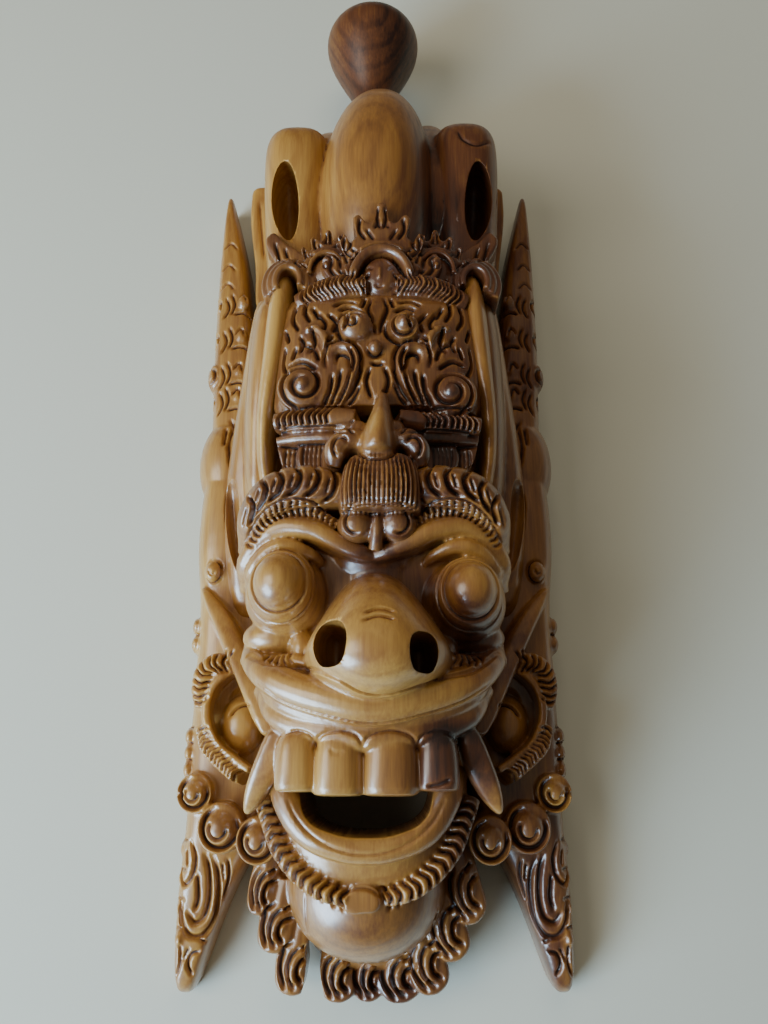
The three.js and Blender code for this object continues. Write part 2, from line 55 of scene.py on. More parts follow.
# Fineness of the carved surfaces
FINE = 0.48
BROAD = 0.7
CUTTER_FINENESS = 0.6
SEAM = 0.2  # how far the trim's back lies above the core's, so that no two backs lie in one plane
POINTS_A_TURN = 9
CORD_STEP = 0.5  # between the points where a cord's cuts may lie
STROKE_STEP = 0.4  # between two presses of a gouge
END_DEPTH = 0.3  # a stroke's depth at its two ends, in shares of its whole depth
END_SLOPE = 6  # how fast it gets deeper from there
ABOVE = 200  # where a gouge comes down from
LEAST_CUT = 1.5 * FINE  # a narrower cut would fall between the surface's points
GROOVE_REACH = 9  # how widely the surface is evened to find its grooves
SEAT_GAP = 0.3  # between the finial's foot and its seat
PAST_CHIN = 1.4  # how far the beard's leaves may pass the solid's chin

# The carving wanders a little off the middle line
CROWN_X = 2
TIARA_X = 2.6
SMALL_X = 1.2
HORNS_X = 0.8
NOSE_X = 1.2
JAW_X = -2.2


# ---- Shaping tools ----


def pick(pieces):
    """Selects the pieces alone, with the first of them active."""
    bpy.ops.object.select_all(action="DESELECT")
    for piece in pieces:
        piece.select_set(True)
    bpy.context.view_layer.objects.active = pieces[0]


def finish_with(piece, kind, **settings):
    """Adds a modifier, sets it and applies it."""
    bpy.context.view_layer.objects.active = piece
    modifier = piece.modifiers.new(kind.lower(), kind)
    for name, value in settings.items():
        setattr(modifier, name, value)
    bpy.ops.object.modifier_apply(modifier=modifier.name)


def lump(at, size, rings=16):
    """A ball drawn out to its half sizes along X, Y and Z."""
    bpy.ops.mesh.primitive_uv_sphere_add(segments=2 * rings, ring_count=rings, location=at, scale=size)
    return [bpy.context.object]


def hewn(stations, square=2.0, sides=36, soft=2):
    """A form drawn out along Y. Each station is its middle (x, y, z), half width and half height.

    A square of 2 makes round sections, and more makes them boxier.
    """
    bpy.ops.mesh.primitive_circle_add(vertices=sides, fill_type="NGON", rotation=(math.pi / 2, 0, 0))
    piece = bpy.context.object
    bpy.ops.object.transform_apply(location=False, rotation=True, scale=False)
    for vertex in piece.data.vertices:
        for axis in (0, 2):
            value = vertex.co[axis]
            vertex.co[axis] = math.copysign(abs(value) ** (2 / square), value)
    x, y, z, half, high = stations[0]
    piece.location = (x, y, z)
    piece.scale = (half, 1, high)
    bpy.ops.object.transform_apply(location=True, rotation=False, scale=True)
    bpy.ops.object.mode_set(mode="EDIT")
    bpy.ops.mesh.select_all(action="SELECT")
    for last, now in zip(stations, stations[1:]):
        step = [b - a for a, b in zip(last[:3], now[:3])]
        bpy.ops.mesh.extrude_region_move(TRANSFORM_OT_translate={"value": step})
        growth = (now[3] / last[3], 1, now[4] / last[4])
        bpy.ops.transform.resize(value=growth, center_override=now[:3])
    bpy.ops.mesh.select_all(action="SELECT")
    bpy.ops.mesh.normals_make_consistent(inside=False)
    bpy.ops.object.mode_set(mode="OBJECT")
    if soft:
        finish_with(piece, "SUBSURF", levels=soft, render_levels=soft)
    return [piece]


def add_line(curve, route, closed=False):
    """Adds a smooth line through (x, y, z, thickness) points to a curve."""
    spline = curve.splines.new("BEZIER")
    spline.bezier_points.add(len(route) - 1)
    spline.use_cyclic_u = closed
    for point, (x, y, z, thick) in zip(spline.bezier_points, route):
        point.co = (x, y, z)
        point.radius = thick
        point.handle_left_type = "AUTO"
        point.handle_right_type = "AUTO"


def ridges(routes, wall, fine=2):
    """Round-topped ridges along smooth routes of (x, y, z, thickness) points.

    The wall is how far they reach up and down, in thicknesses.
    """
    bpy.ops.curve.primitive_bezier_curve_add()
    curve = bpy.context.object.data
    curve.splines.clear()
    curve.bevel_depth = 1
    curve.bevel_resolution = fine
    curve.resolution_u = 6
    curve.extrude = wall
    curve.use_fill_caps = True
    curve.twist_mode = "Z_UP"
    for route in routes:
        add_line(curve, route)
    bpy.ops.object.convert(target="MESH")
    return [bpy.context.object]


def board(outline, low, high, edge):
    """A board cut to a smooth outline of (x, y) points, from one height to another."""
    bpy.ops.curve.primitive_bezier_circle_add(location=(0, 0, (low + high) / 2))
    curve = bpy.context.object.data
    curve.splines.clear()
    curve.dimensions = "2D"
    curve.fill_mode = "BOTH"
    curve.extrude = (high - low) / 2 - edge
    curve.bevel_depth = edge
    curve.offset = -edge
    curve.bevel_resolution = 2
    curve.resolution_u = 5
    add_line(curve, [(x, y, 0, 1) for x, y in outline], closed=True)
    bpy.ops.object.convert(target="MESH")
    return [bpy.context.object]


def joined(pieces, name):
    """Several shapes as one object, with its place in its mesh."""
    pick(pieces)
    if len(pieces) > 1:
        bpy.ops.object.join()
    bpy.ops.object.transform_apply(location=True, rotation=True, scale=True)
    whole = bpy.context.object
    whole.name = name
    return whole


def remeshed(piece, size):
    """One closed skin round everything in the piece."""
    finish_with(piece, "REMESH", mode="VOXEL", voxel_size=size)
    return piece


def cut(piece, cutters):
    """Takes the cutters' volume away from the piece."""
    cutter = remeshed(joined(cutters, "cutter"), CUTTER_FINENESS)
    finish_with(piece, "BOOLEAN", operation="DIFFERENCE", solver="MANIFOLD", object=cutter)
    bpy.data.objects.remove(cutter, do_unlink=True)


def flat_back(piece, height):
    """Cuts the piece off flat at a height over the back plane."""
    bpy.context.view_layer.objects.active = piece
    bpy.ops.object.mode_set(mode="EDIT")
    bpy.ops.mesh.select_all(action="SELECT")
    bpy.ops.mesh.bisect(plane_co=(0, 0, height), plane_no=(0, 0, 1), use_fill=True, clear_inner=True)
    bpy.ops.object.mode_set(mode="OBJECT")


def thinned(piece, most):
    """Takes faces away where the surface is plain."""
    count = sum(len(face.vertices) - 2 for face in piece.data.polygons)
    if count > most:
        finish_with(piece, "DECIMATE", ratio=most / count)


def to_metres(piece):
    """Brings a finished piece from millimetres to metres."""
    pick([piece])
    piece.scale = (MM, MM, MM)
    bpy.ops.object.transform_apply(location=True, rotation=True, scale=True)
    bpy.ops.object.shade_smooth()


def read_places(mesh):
    places = np.empty(len(mesh.vertices) * 3)
    mesh.vertices.foreach_get("co", places)
    return places.reshape(-1, 3)


def write_places(mesh, places):
    mesh.vertices.foreach_set("co", places.ravel())
    mesh.update()


# ---- Routes ----


def polar(middle, radius, degrees):
    """A point round a middle. The radius is a number or a pair of half widths."""
    across, up = radius if isinstance(radius, tuple) else (radius, radius)
    turn = math.radians(degrees)
    return middle[0] + across * math.cos(turn), middle[1] + up * math.sin(turn)


def arc(middle, radius, start, end, count=9):
    """Points (x, y) on an arc."""
    return [polar(middle, radius, start + (end - start) * i / (count - 1)) for i in range(count)]


def spiral(middle, radius, start, turns, inner):
    """Points (x, y) that wind inwards to a share of the radius. Negative turns wind clockwise."""
    count = int(abs(turns) * POINTS_A_TURN) + 2
    shares = [i / (count - 1) for i in range(count)]
    return [polar(middle, radius * (1 - (1 - inner) * t), start + 360 * turns * t) for t in shares]


def smooth(route, step):
    """Close points on a smooth curve through a route's points."""
    points = np.array(route, float)
    padded = np.vstack([2 * points[0] - points[1], points, 2 * points[-1] - points[-2]])
    made = []
    for a, b, c, d in zip(padded, padded[1:], padded[2:], padded[3:]):
        count = max(int(np.linalg.norm(c - b) / step), 1)
        for t in np.arange(count) / count:
            bend = (2 * a - 5 * b + 4 * c - d) * t**2 + (3 * b - a - 3 * c + d) * t**3
            made.append(0.5 * (2 * b + (c - a) * t + bend))
    made.append(points[-1])
    return made


def along(points, share):
    """The place and the heading at a share of the way along close points."""
    i = min(int(share * (len(points) - 1)), len(points) - 2)
    heading = points[i + 1] - points[i]
    return points[i], heading / np.linalg.norm(heading)


def flip(side, route):
    """A route made for the right side, or its mirror image on the left."""
    return [(side * point[0], *point[1:]) for point in route]


def shift(distance, route):
    """A route moved along X."""
    return [(point[0] + distance, *point[1:]) for point in route]


def placed(middle, side, route):
    """A right-hand route on its own side of a middle."""
    return shift(middle, flip(side, route))


def arched(right, middle):
    """A route from left to right, from its right half, outer end first, and its middle point."""
    return flip(-1, right) + [middle] + right[::-1]


def tapered(route, thick, ends):
    """Adds a thickness to each point of a route, less at its two ends."""
    last = len(route) - 1
    return [(*point, thick * (ends if i in (0, last) else 1)) for i, point in enumerate(route)]


# ---- Cuts of the gouge ----


def gouge(route, width, depth):
    """A cut along (x, y) points, as wide each side as it says. A negative depth raises a ridge."""
    return [point[:2] for point in route], width, depth


def gouges(routes, width, depth):
    """Several cuts, all as wide and as deep."""
    return [gouge(route, width, depth) for route in routes]


def cord_cuts(route, count, reach, width, depth, bow, slant=0):
    """Curved cuts across a band, which turn it into a twisted cord. The bow points along the route."""
    fine = smooth([point[:2] for point in route], CORD_STEP)
    made = []
    for i in range(count):
        place, heading = along(fine, (i + 0.5) / count)
        turn = math.atan2(heading[1], heading[0]) + math.radians(90 + slant)
        across = np.array([math.cos(turn), math.sin(turn)])
        ends = [place + across * way - heading * bow for way in (reach, -reach)]
        route = [ends[0], place + heading * bow * 0.4, ends[1]]
        made.append(gouge([tuple(point) for point in route], width, depth))
    return made


def carve(piece, cuts):
    """Presses the cuts into the surface that a tool from above would meet."""
    mesh = piece.data
    places = read_places(mesh)
    tree = KDTree(len(places))
    for i, place in enumerate(places):
        tree.insert(place, i)
    tree.balance()
    push = np.zeros(len(places))
    lean = np.zeros((len(places), 3))
    for route, width, depth in cuts:
        width = max(width, LEAST_CUT)
        points = smooth(route, STROKE_STEP)
        for i, (x, y) in enumerate(points):
            share = i / (len(points) - 1)
            deep = depth * min(1, END_DEPTH + END_SLOPE * share, END_DEPTH + END_SLOPE * (1 - share))
            hit, place, normal, _ = piece.ray_cast((x, y, ABOVE), (0, 0, -1))
            if not hit:
                continue
            outward = (normal + Vector((0, 0, 1))).normalized()
            for _, index, distance in tree.find_range(place, width):
                amount = deep * (1 - (distance / width) ** 2)
                if abs(amount) > abs(push[index]):
                    push[index] = amount
                    lean[index] = outward
    write_places(mesh, places - lean * push[:, None])


# ---- Wood tone, painted shade and wear ----


def edge_list(mesh):
    pairs = np.empty(len(mesh.edges) * 2, dtype=np.int64)
    mesh.edges.foreach_get("vertices", pairs)
    return pairs.reshape(-1, 2)


def evened(values, pairs, rounds):
    """Values averaged with their neighbours' over and over."""
    count = len(values)
    share = np.bincount(pairs.ravel(), minlength=count).clip(1)
    for _ in range(rounds):
        total = np.zeros_like(values)
        for axis in range(values.shape[1]):
            total[:, axis] = np.bincount(pairs[:, 0], values[pairs[:, 1], axis], count)
            total[:, axis] += np.bincount(pairs[:, 1], values[pairs[:, 0], axis], count)
        values = (values + total / share[:, None]) / 2
    return values


def soften(mesh):
    """Rubs the surface down a little, as sandpaper and varnish do."""
    write_places(mesh, evened(read_places(mesh), edge_list(mesh), 1))


def keep(mesh, name, values):
    """Stores one number at each point, for the material to read."""
    attribute = mesh.attributes.new(name, "FLOAT", "POINT")
    attribute.data.foreach_set("value", values.astype(np.float32))


def tone_and_shade(piece, tone, spots):
    """Keeps how dark the wood is painted at each point, and how deep it lies in a groove (in millimetres),
    which the material paints as shade.

    A spot is its middle (x, y), its half widths across and up, and how much darker it is. The spots are
    partly the wood's own tone and partly painted shade and painted highlight.
    """
    mesh = piece.data
    places = read_places(mesh)
    normals = np.empty(len(places) * 3)
    mesh.vertices.foreach_get("normal", normals)
    rounded = evened(places, edge_list(mesh), GROOVE_REACH)
    # The groove depth kept here is painted as shade by the material.
    keep(mesh, "hollow", ((rounded - places) * normals.reshape(-1, 3)).sum(axis=1))
    dark = np.full(len(places), float(tone))
    for x, y, across, up, amount in spots:
        away = ((places[:, 0] - x) / across) ** 2 + ((places[:, 1] - y) / up) ** 2
        dark += amount * np.exp(-away)
    keep(mesh, "dark", dark)


def carved(name, blocks, fineness, most, cutters=(), cuts=(), tone=0.5, spots=(), back=SEAM):
    """One piece from its rough blocks: a skin, the big cuts, the fine cuts, a rub down, and its tone with
    painted shade.

    It keeps at most so many triangles, and what lies under its back is cut off.
    """
    piece = remeshed(joined(blocks, name), fineness)
    if cutters:
        cut(piece, cutters)
    flat_back(piece, back)
    if cuts:
        carve(piece, cuts)
    soften(piece.data)
    thinned(piece, most)
    tone_and_shade(piece, tone, spots)
    to_metres(piece)
    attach(piece, "root")
    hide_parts("carved_mask")
    return piece


# ---- Core: log, brow shelves and crown ----


def log():
    """The body of the mask, from beard to crown, with its back half under the back plane."""
    profile = (
        (-212, 12, 15), (-200, 26, 22), (-176, 35, 30), (-152, 35, 44), (-133, 36, 62), (-116, 41, 67),
        (-66, 44, 68), (-48, 46, 69), (-8, 47, 70), (28, 47, 66), (46, 45, 52), (84, 42, 42), (126, 36, 32),
    )
    return hewn([(0, y, 0, half, high) for y, half, high in profile], square=3)


def brow_shelf(side):
    """The plain shelf beside the brow, and the slope that leads up to it."""
    shelf = [
        (48, -92, 0, 7, 30), (50, -68, 0, 10.5, 40), (50, -34, 0, 12, 47),
        (47, 6, 0, 9, 52), (45, 34, 0, 7, 56), (44, 48, 0, 5, 52),
    ]
    slope = [
        (42.6, -52, 20, 7, 38), (43, -34, 20, 8, 43), (42.4, -14, 20, 9.4, 49),
        (41, 6, 20, 10.4, 52), (40, 26, 20, 10.4, 51), (40, 38, 20, 8, 46),
    ]
    return hewn(flip(side, shelf), square=3) + hewn(flip(side, slope), square=2.4)


# The side buds and their pits aren't set alike: the left bud is nearer the middle, and shorter
BUD_X = {-1: -33.4, 1: 38}
BUD_SHORTER = {-1: 3, 1: 1}
PIT_X = {-1: -37.4, 1: 42.6}


def crown():
    """Three tall buds, two more behind them, a plate at each side, and the finial's seat."""
    front = [
        (0.4, 26, 42, 18, 18), (0.4, 50, 44, 22, 24), (0.4, 72, 46, 24, 30),
        (0.5, 96, 46, 24.2, 32), (1, 114, 45, 22.8, 29), (1.6, 129, 44, 18.6, 25),
        (2, 138.4, 43, 12.6, 18.6), (2.2, 144, 42, 6.4, 10), (2.2, 145.6, 41, 2, 3),
    ]
    made = hewn(front, square=2.2, sides=48)
    for side in SIDES:
        short = BUD_SHORTER[side]
        bud = [
            (-2, 36, 34, 12, 18), (-0.6, 62, 38, 13.6, 21), (0, 92, 40, 14.4, 22.4),
            (0, 112 - short, 41, 14.8, 22.4), (0, 121.6 - short, 41, 14.2, 20),
            (-0.6, 125.2 - short, 41, 11.4, 15), (-2, 126.4 - short, 41, 5, 7),
        ]
        made += hewn(placed(BUD_X[side], side, bud), square=2.7, sides=40)
        rear = [
            (21, 60, 36, 12, 22), (22, 100, 36, 13, 25), (22, 122, 36, 12, 16),
            (21, 133 + side * 2, 36, 7, 8), (21, 136 + side * 2, 36, 2, 3),
        ]
        made += hewn(placed(CROWN_X, side, rear), square=2.6)
        plate = [(40, 40), (48, 44), (53.6, 74), (56.8, 108), (55.6, 113.6), (50, 114.6), (42, 112)]
        made += board(placed(side * 0.5 + 0.5, side, plate), 12, 28, edge=1.2)
    seat = [(-2, 96, 26, 15, 15), (-2, 124, 26, 12, 12), (-2, FINIAL_LOW.y - SEAT_GAP, 26, 10.5, 10.5)]
    return made + hewn(seat, soft=0)


def back_hollow(spare=0.0):
    """The hollow for a wearer's face. Pieces that lie over the log are cut with a little to spare."""
    profile = (
        (-172, 12, 14), (-156, 24, 32), (-130, 28, 46), (-60, 32, 52),
        (10, 33, 52), (36, 27, 35), (56, 14, 14),
    )
    return hewn([(0, y, -1, half + spare, high + spare) for y, half, high in profile], square=3)


def mouth_opening():
    """The opening between the teeth and the lower lip, straight down into the hollow."""
    outline = [
        (-21.4, -136), (-21.6, -147), (-19, -154.6), (-11, -158.8), (0, -160.2),
        (11, -158.8), (18.8, -154.6), (21.6, -147), (21.6, -136),
    ]
    return board(shift(JAW_X, outline), 10, 100, edge=0.1)


def core():
    """The log, brow shelves and crown as one, with the mouth, the face hollow and the pits cut."""
    blocks = log() + crown()
    for side in SIDES:
        blocks += brow_shelf(side)
    cutters = mouth_opening() + back_hollow()
    for side in SIDES:
        pit = [
            (-0.4, 102, 54, 2, 6), (0, 96, 54, 5, 13), (-0.4, 84, 54, 6.6, 17),
            (-1.6, 71, 54, 5.4, 14), (-2.6, 63, 54, 1.6, 6),
        ]
        cutters += hewn(placed(PIT_X[side], side, pit))
        scoop = [
            (56.6, -32, 50, 3.4, 8), (56.4, -38, 50, 4.4, 16), (55, -50, 50, 4.2, 16),
            (53, -62, 48, 3, 14), (51, -71, 46, 1.4, 7),
        ]
        cutters += hewn(flip(side, scoop))
    cracks = [
        [(-46.6, 98), (-48.6, 104), (-47, 112)],
        [(34, 116), (36.4, 110), (42, 107.4), (48, 111.4)],
        [(-49.6, 76), (-51.6, 92), (-53, 106)],
        [(50.4, 84), (52, 98), (52.6, 108)],
    ]
    cuts = gouges(cracks, 0.9, 1.1)
    # Painted shade: darker down the crown's right side and the right shelf, between the buds, under the brow
    # and inside the mouth. The left bud and left shelf are painted lighter on the lit side. Partly the wood's
    # own tone.
    spots = [
        (-38, 96, 17, 40, -0.22), (42, 96, 19, 50, 0.46), (12, 66, 14, 20, 0.26), (21, 100, 7, 40, 0.26),
        (30, 60, 12, 20, 0.3), (-46, -40, 8, 60, -0.2), (48, -40, 9, 60, 0.2), (0, -72, 22, 14, 0.3),
        (0, -150, 24, 14, 0.3),
    ]
    return carved("mask_core", blocks, BROAD, 110000, cutters, cuts, tone=0.32, spots=spots, back=0)


# ---- Tiara ----


def tiara_arch(x, y, z, radius, tall, deep=16):
    """One arch: a board cut to a flame of leaves, a round rim and a leaf at its tip."""
    flame = [
        (-1.45, 0.02), (-1.66, 0.36), (-1.24, 0.3), (-1.24, 0.62),
        (-0.88, 0.52), (-0.78, 0.84), (-0.36, 0.74),
    ]
    right = [(-across, up) for across, up in reversed(flame)]
    outline = [(x + a * radius, y + b * tall) for a, b in [*flame, (0, 1), *right]]
    middle = (x, y - 1)
    inner = arc(middle, (radius * 0.86, radius * 1.12), -4, 184, 11)
    outer = arc(middle, (radius * 1.12, radius * 1.42), 0, 180, 11)
    made = board(outline, z - deep, z, edge=1)
    made += ridges([[(*point, z + 1.4, radius * 0.1 + 0.55) for point in inner]], wall=0.8)
    return made + ridges([[(*point, z + 0.6, 0.9) for point in outer]], wall=0.6)


def tiara_cuts(x, y, radius, tall):
    """Flame grooves over an arch, and the deep groove inside its rim."""
    middle = (x, y - 1)
    made = [gouge(arc(middle, (radius * 0.68, radius * 0.92), -6, 186, 13), 0.9, 2)]
    made.append(gouge(arc(middle, (radius * 1.01, radius * 1.27), -2, 182, 13), 0.7, 1.6))
    for side in SIDES:
        for across, up in ((0.12, 0.92), (0.66, 0.78), (1.12, 0.56), (1.5, 0.3)):
            tip = (x + side * radius * across, y + tall * up)
            belly = (x + side * radius * (across + 0.02), y + tall * (up - 0.14))
            root = (x + side * radius * (across * 0.84 - 0.06), y + tall * (up - 0.25))
            made.append(gouge([tip, belly, root], 0.8, 2))
            made.append(gouge(shift(-side * radius * 0.24, [belly, root]), 0.65, 1.6))
    return made


def tiara():
    """The three-arched tiara, its temple leaves, horn hoods, small face and rope of beads."""
    middle = (TIARA_X, 31)
    blocks = tiara_arch(*middle, 79, 12.4, 36)
    blocks += lump((TIARA_X - 0.4, 34, 79), (6.2, 7.6, 3.2), rings=20)
    rise = [(0, 16, 60, 30, 16), (0, 27, 60, 31, 19), (0, 36, 60, 29, 17)]
    blocks += hewn(shift(TIARA_X, rise), square=3)
    cuts = tiara_cuts(*middle, 12.4, 36)
    eyes_and_mouth = [
        [(-4, 35), (-2.4, 36.4), (-0.8, 35)],
        [(5.2, 35), (6.8, 36.4), (8.4, 35)],
        [(0.6, 28.8), (1.8, 28.2), (3.2, 28.8)],
    ]
    cuts += gouges(eyes_and_mouth, 0.6, 0.9)
    cuts.append(gouge([(1.9, 35.6), (1.9, 31.2)], 0.8, -0.8))
    for side in SIDES:
        x = TIARA_X + side * 20.6
        blocks += tiara_arch(x, 39, 73, 7.8, 20, 20)
        blocks += lump((x, 40, 73), (5.4, 6.4, 2.8))
        cuts += tiara_cuts(x, 39, 7.8, 20)
        cuts.append(gouge(spiral((x, 40), 3.2, 90, side * 1.1, 0.2), 0.7, 1.4))
        temple_leaf = [(25, 38), (34, 40), (41, 50), (44.6, 65.4), (38, 60.6), (34, 58), (28, 52)]
        blocks += board(placed(TIARA_X, side, temple_leaf), 44, 62, edge=1.4)
        for start, end in (((33, 44), (42.4, 60)), ((30, 46), (38.4, 57.6)), ((36, 42.6), (41.6, 53))):
            belly = ((start[0] + end[0]) / 2 + 1.6, (start[1] + end[1]) / 2 - 1.6)
            cuts.append(gouge(placed(TIARA_X, side, [start, belly, end]), 0.8, 2))
        hoods = []
        for ring in range(3):
            bend = arc((0, 33.4), (4.6 + 2.2 * ring, 6.4 + 2.1 * ring), -30, 196, 11)
            hoods.append([(TIARA_X + side * (34.8 + a), b, 70.5 - 1.6 * ring, 1.25) for a, b in bend])
        blocks += ridges(hoods, wall=5)
        band = placed(TIARA_X, side, [(5.4, 29.4, 77.6), (14, 29, 77), (22, 27.4, 75.4), (29.6, 24.8, 72)])
        blocks += ridges([tapered(band, 5, 0.9)], wall=0.4, fine=4)
        cuts += cord_cuts(band, 15, 4.2, 0.7, 2.2, bow=1.5)
    # The left is painted lighter and the right darker, as painted light and shade.
    spots = [(-30, 36, 12, 14, -0.15), (36, 44, 10, 18, 0.2)]
    return carved("tiara", blocks, FINE, 120000, cuts=cuts, tone=0.6, spots=spots, back=42)


# ---- Small horned head ----

ROPE_LOWER = {-1: 0, 1: 1.6}  # how much lower the rope lies on each side


def small_blocks():
    """Skull, ledge, lips, tooth pads, nose, moustache, fluted beard and the curls under it."""
    skull = [
        (0, 30, 52, 37, 25), (0, 24, 52, 38.6, 29.6), (0, 2, 52, 39.6, 32.4),
        (0, -19, 52, 39, 32), (0, -20.8, 52, 38.6, 31.4),
    ]
    jaws = [(0, -16, 52, 35, 22), (0, -34, 52, 34.4, 20), (0, -48, 52, 34, 22)]
    nose_bridge = [
        (1.9, -14, 84, 0.8, 3), (1.6, -22, 84, 3, 8), (1, -29, 84, 5, 12),
        (0.4, -35, 84, 6.6, 14.4), (0, -39.6, 84, 7.2, 15), (0, -41.8, 84, 5.6, 12),
    ]
    beard = [
        (1, -39.4, 78, 10, 15), (1.2, -43, 78, 12.8, 18), (1.2, -50, 78, 14, 19.6),
        (1, -58, 78, 14, 18.6), (1, -59.8, 78, 13.6, 17.4),
    ]
    made = hewn(shift(SMALL_X, skull), square=4, soft=1)
    made += hewn(shift(SMALL_X, jaws), square=3, soft=1)
    made += hewn(shift(SMALL_X, nose_bridge))
    made += hewn(shift(SMALL_X, beard), square=3, sides=48, soft=1)
    made += lump((SMALL_X + 9.4, 10.2, 83), (5.4, 5.6, 5))
    made += lump((SMALL_X + 9.4, 10.6, 86.4), (2.5, 2.6, 3))
    made += lump((SMALL_X - 7.6, 10.6, 82.6), (6.6, 6.2, 5.6))
    made += lump((SMALL_X - 0.8, 1.4, 84.6), (2.6, 2.8, 3.4))
    for x, y in ((-26, -12), (25.6, -14.6)):
        made += lump((SMALL_X + x, y, 80), (9.4, 9, 5), rings=24)
        made += lump((SMALL_X + x, y, 83), (3, 3, 3.4))
    routes = [shift(SMALL_X, [(0, -59, 82, 1.6), (0, -64, 83, 1.9), (-0.4, -70, 80, 2.4)])]
    for side in SIDES:
        low = ROPE_LOWER[side]
        upper = [
            (7, -24.6, 81.6, 2.8), (17, -24.4 - low, 80.4, 3.6),
            (27, -24.2 - low, 78.4, 3.6), (35.6, -23.8 - low, 75, 3),
        ]
        lower = [(9, -31.6, 79.6, 1.4), (18, -30.4, 78, 2), (28, -29.8, 75.4, 2), (35.6, -29.4, 72.4, 1.4)]
        made += lump((SMALL_X + side * 11, -25.2, 79.6), (5.4, 4.4, 5.6))
        inner_pad = [(13, -31), (20, -29.4), (26.4, -31), (26.6, -41.4), (13, -42)]
        outer_pad = [(27.4, -30), (35.4, -29.6), (35, -36), (31.6, -40), (27.6, -40.6)]
        made += board(placed(SMALL_X, side, inner_pad), 54, 77.6, edge=2)
        made += board(placed(SMALL_X, side, outer_pad), 54, 74, edge=1.8)
        moustache = [(5, -35, 86, 3), (9.8, -34.8, 86, 3.8), (13.6, -38, 85, 4), (14.6, -43, 83.6, 2.4)]
        made += lump((SMALL_X + side * 6.4, -30.4, 84), (3.4, 4, 5))
        made += lump((SMALL_X + side * 6.8, -62.6, 80), (6.6, 6, 7.6), rings=20)
        leaf = [
            (13, -18, 81.6, 1), (9.4, -10, 82.6, 1.8), (8, -3, 83, 1.8),
            (11, 2.2, 82.6, 1.7), (15.6, 1.6, 82, 1.5), (16.4, -2.4, 82, 1),
        ]
        frill = [(17.6, -4, 81.6, 1), (18, 4, 82.2, 1.7), (21.4, 9.6, 82, 1.5), (25.4, 10.4, 81, 1)]
        routes += [placed(SMALL_X, side, route) for route in (upper, lower, moustache, leaf, frill)]
    return made + ridges(routes, wall=0.8)


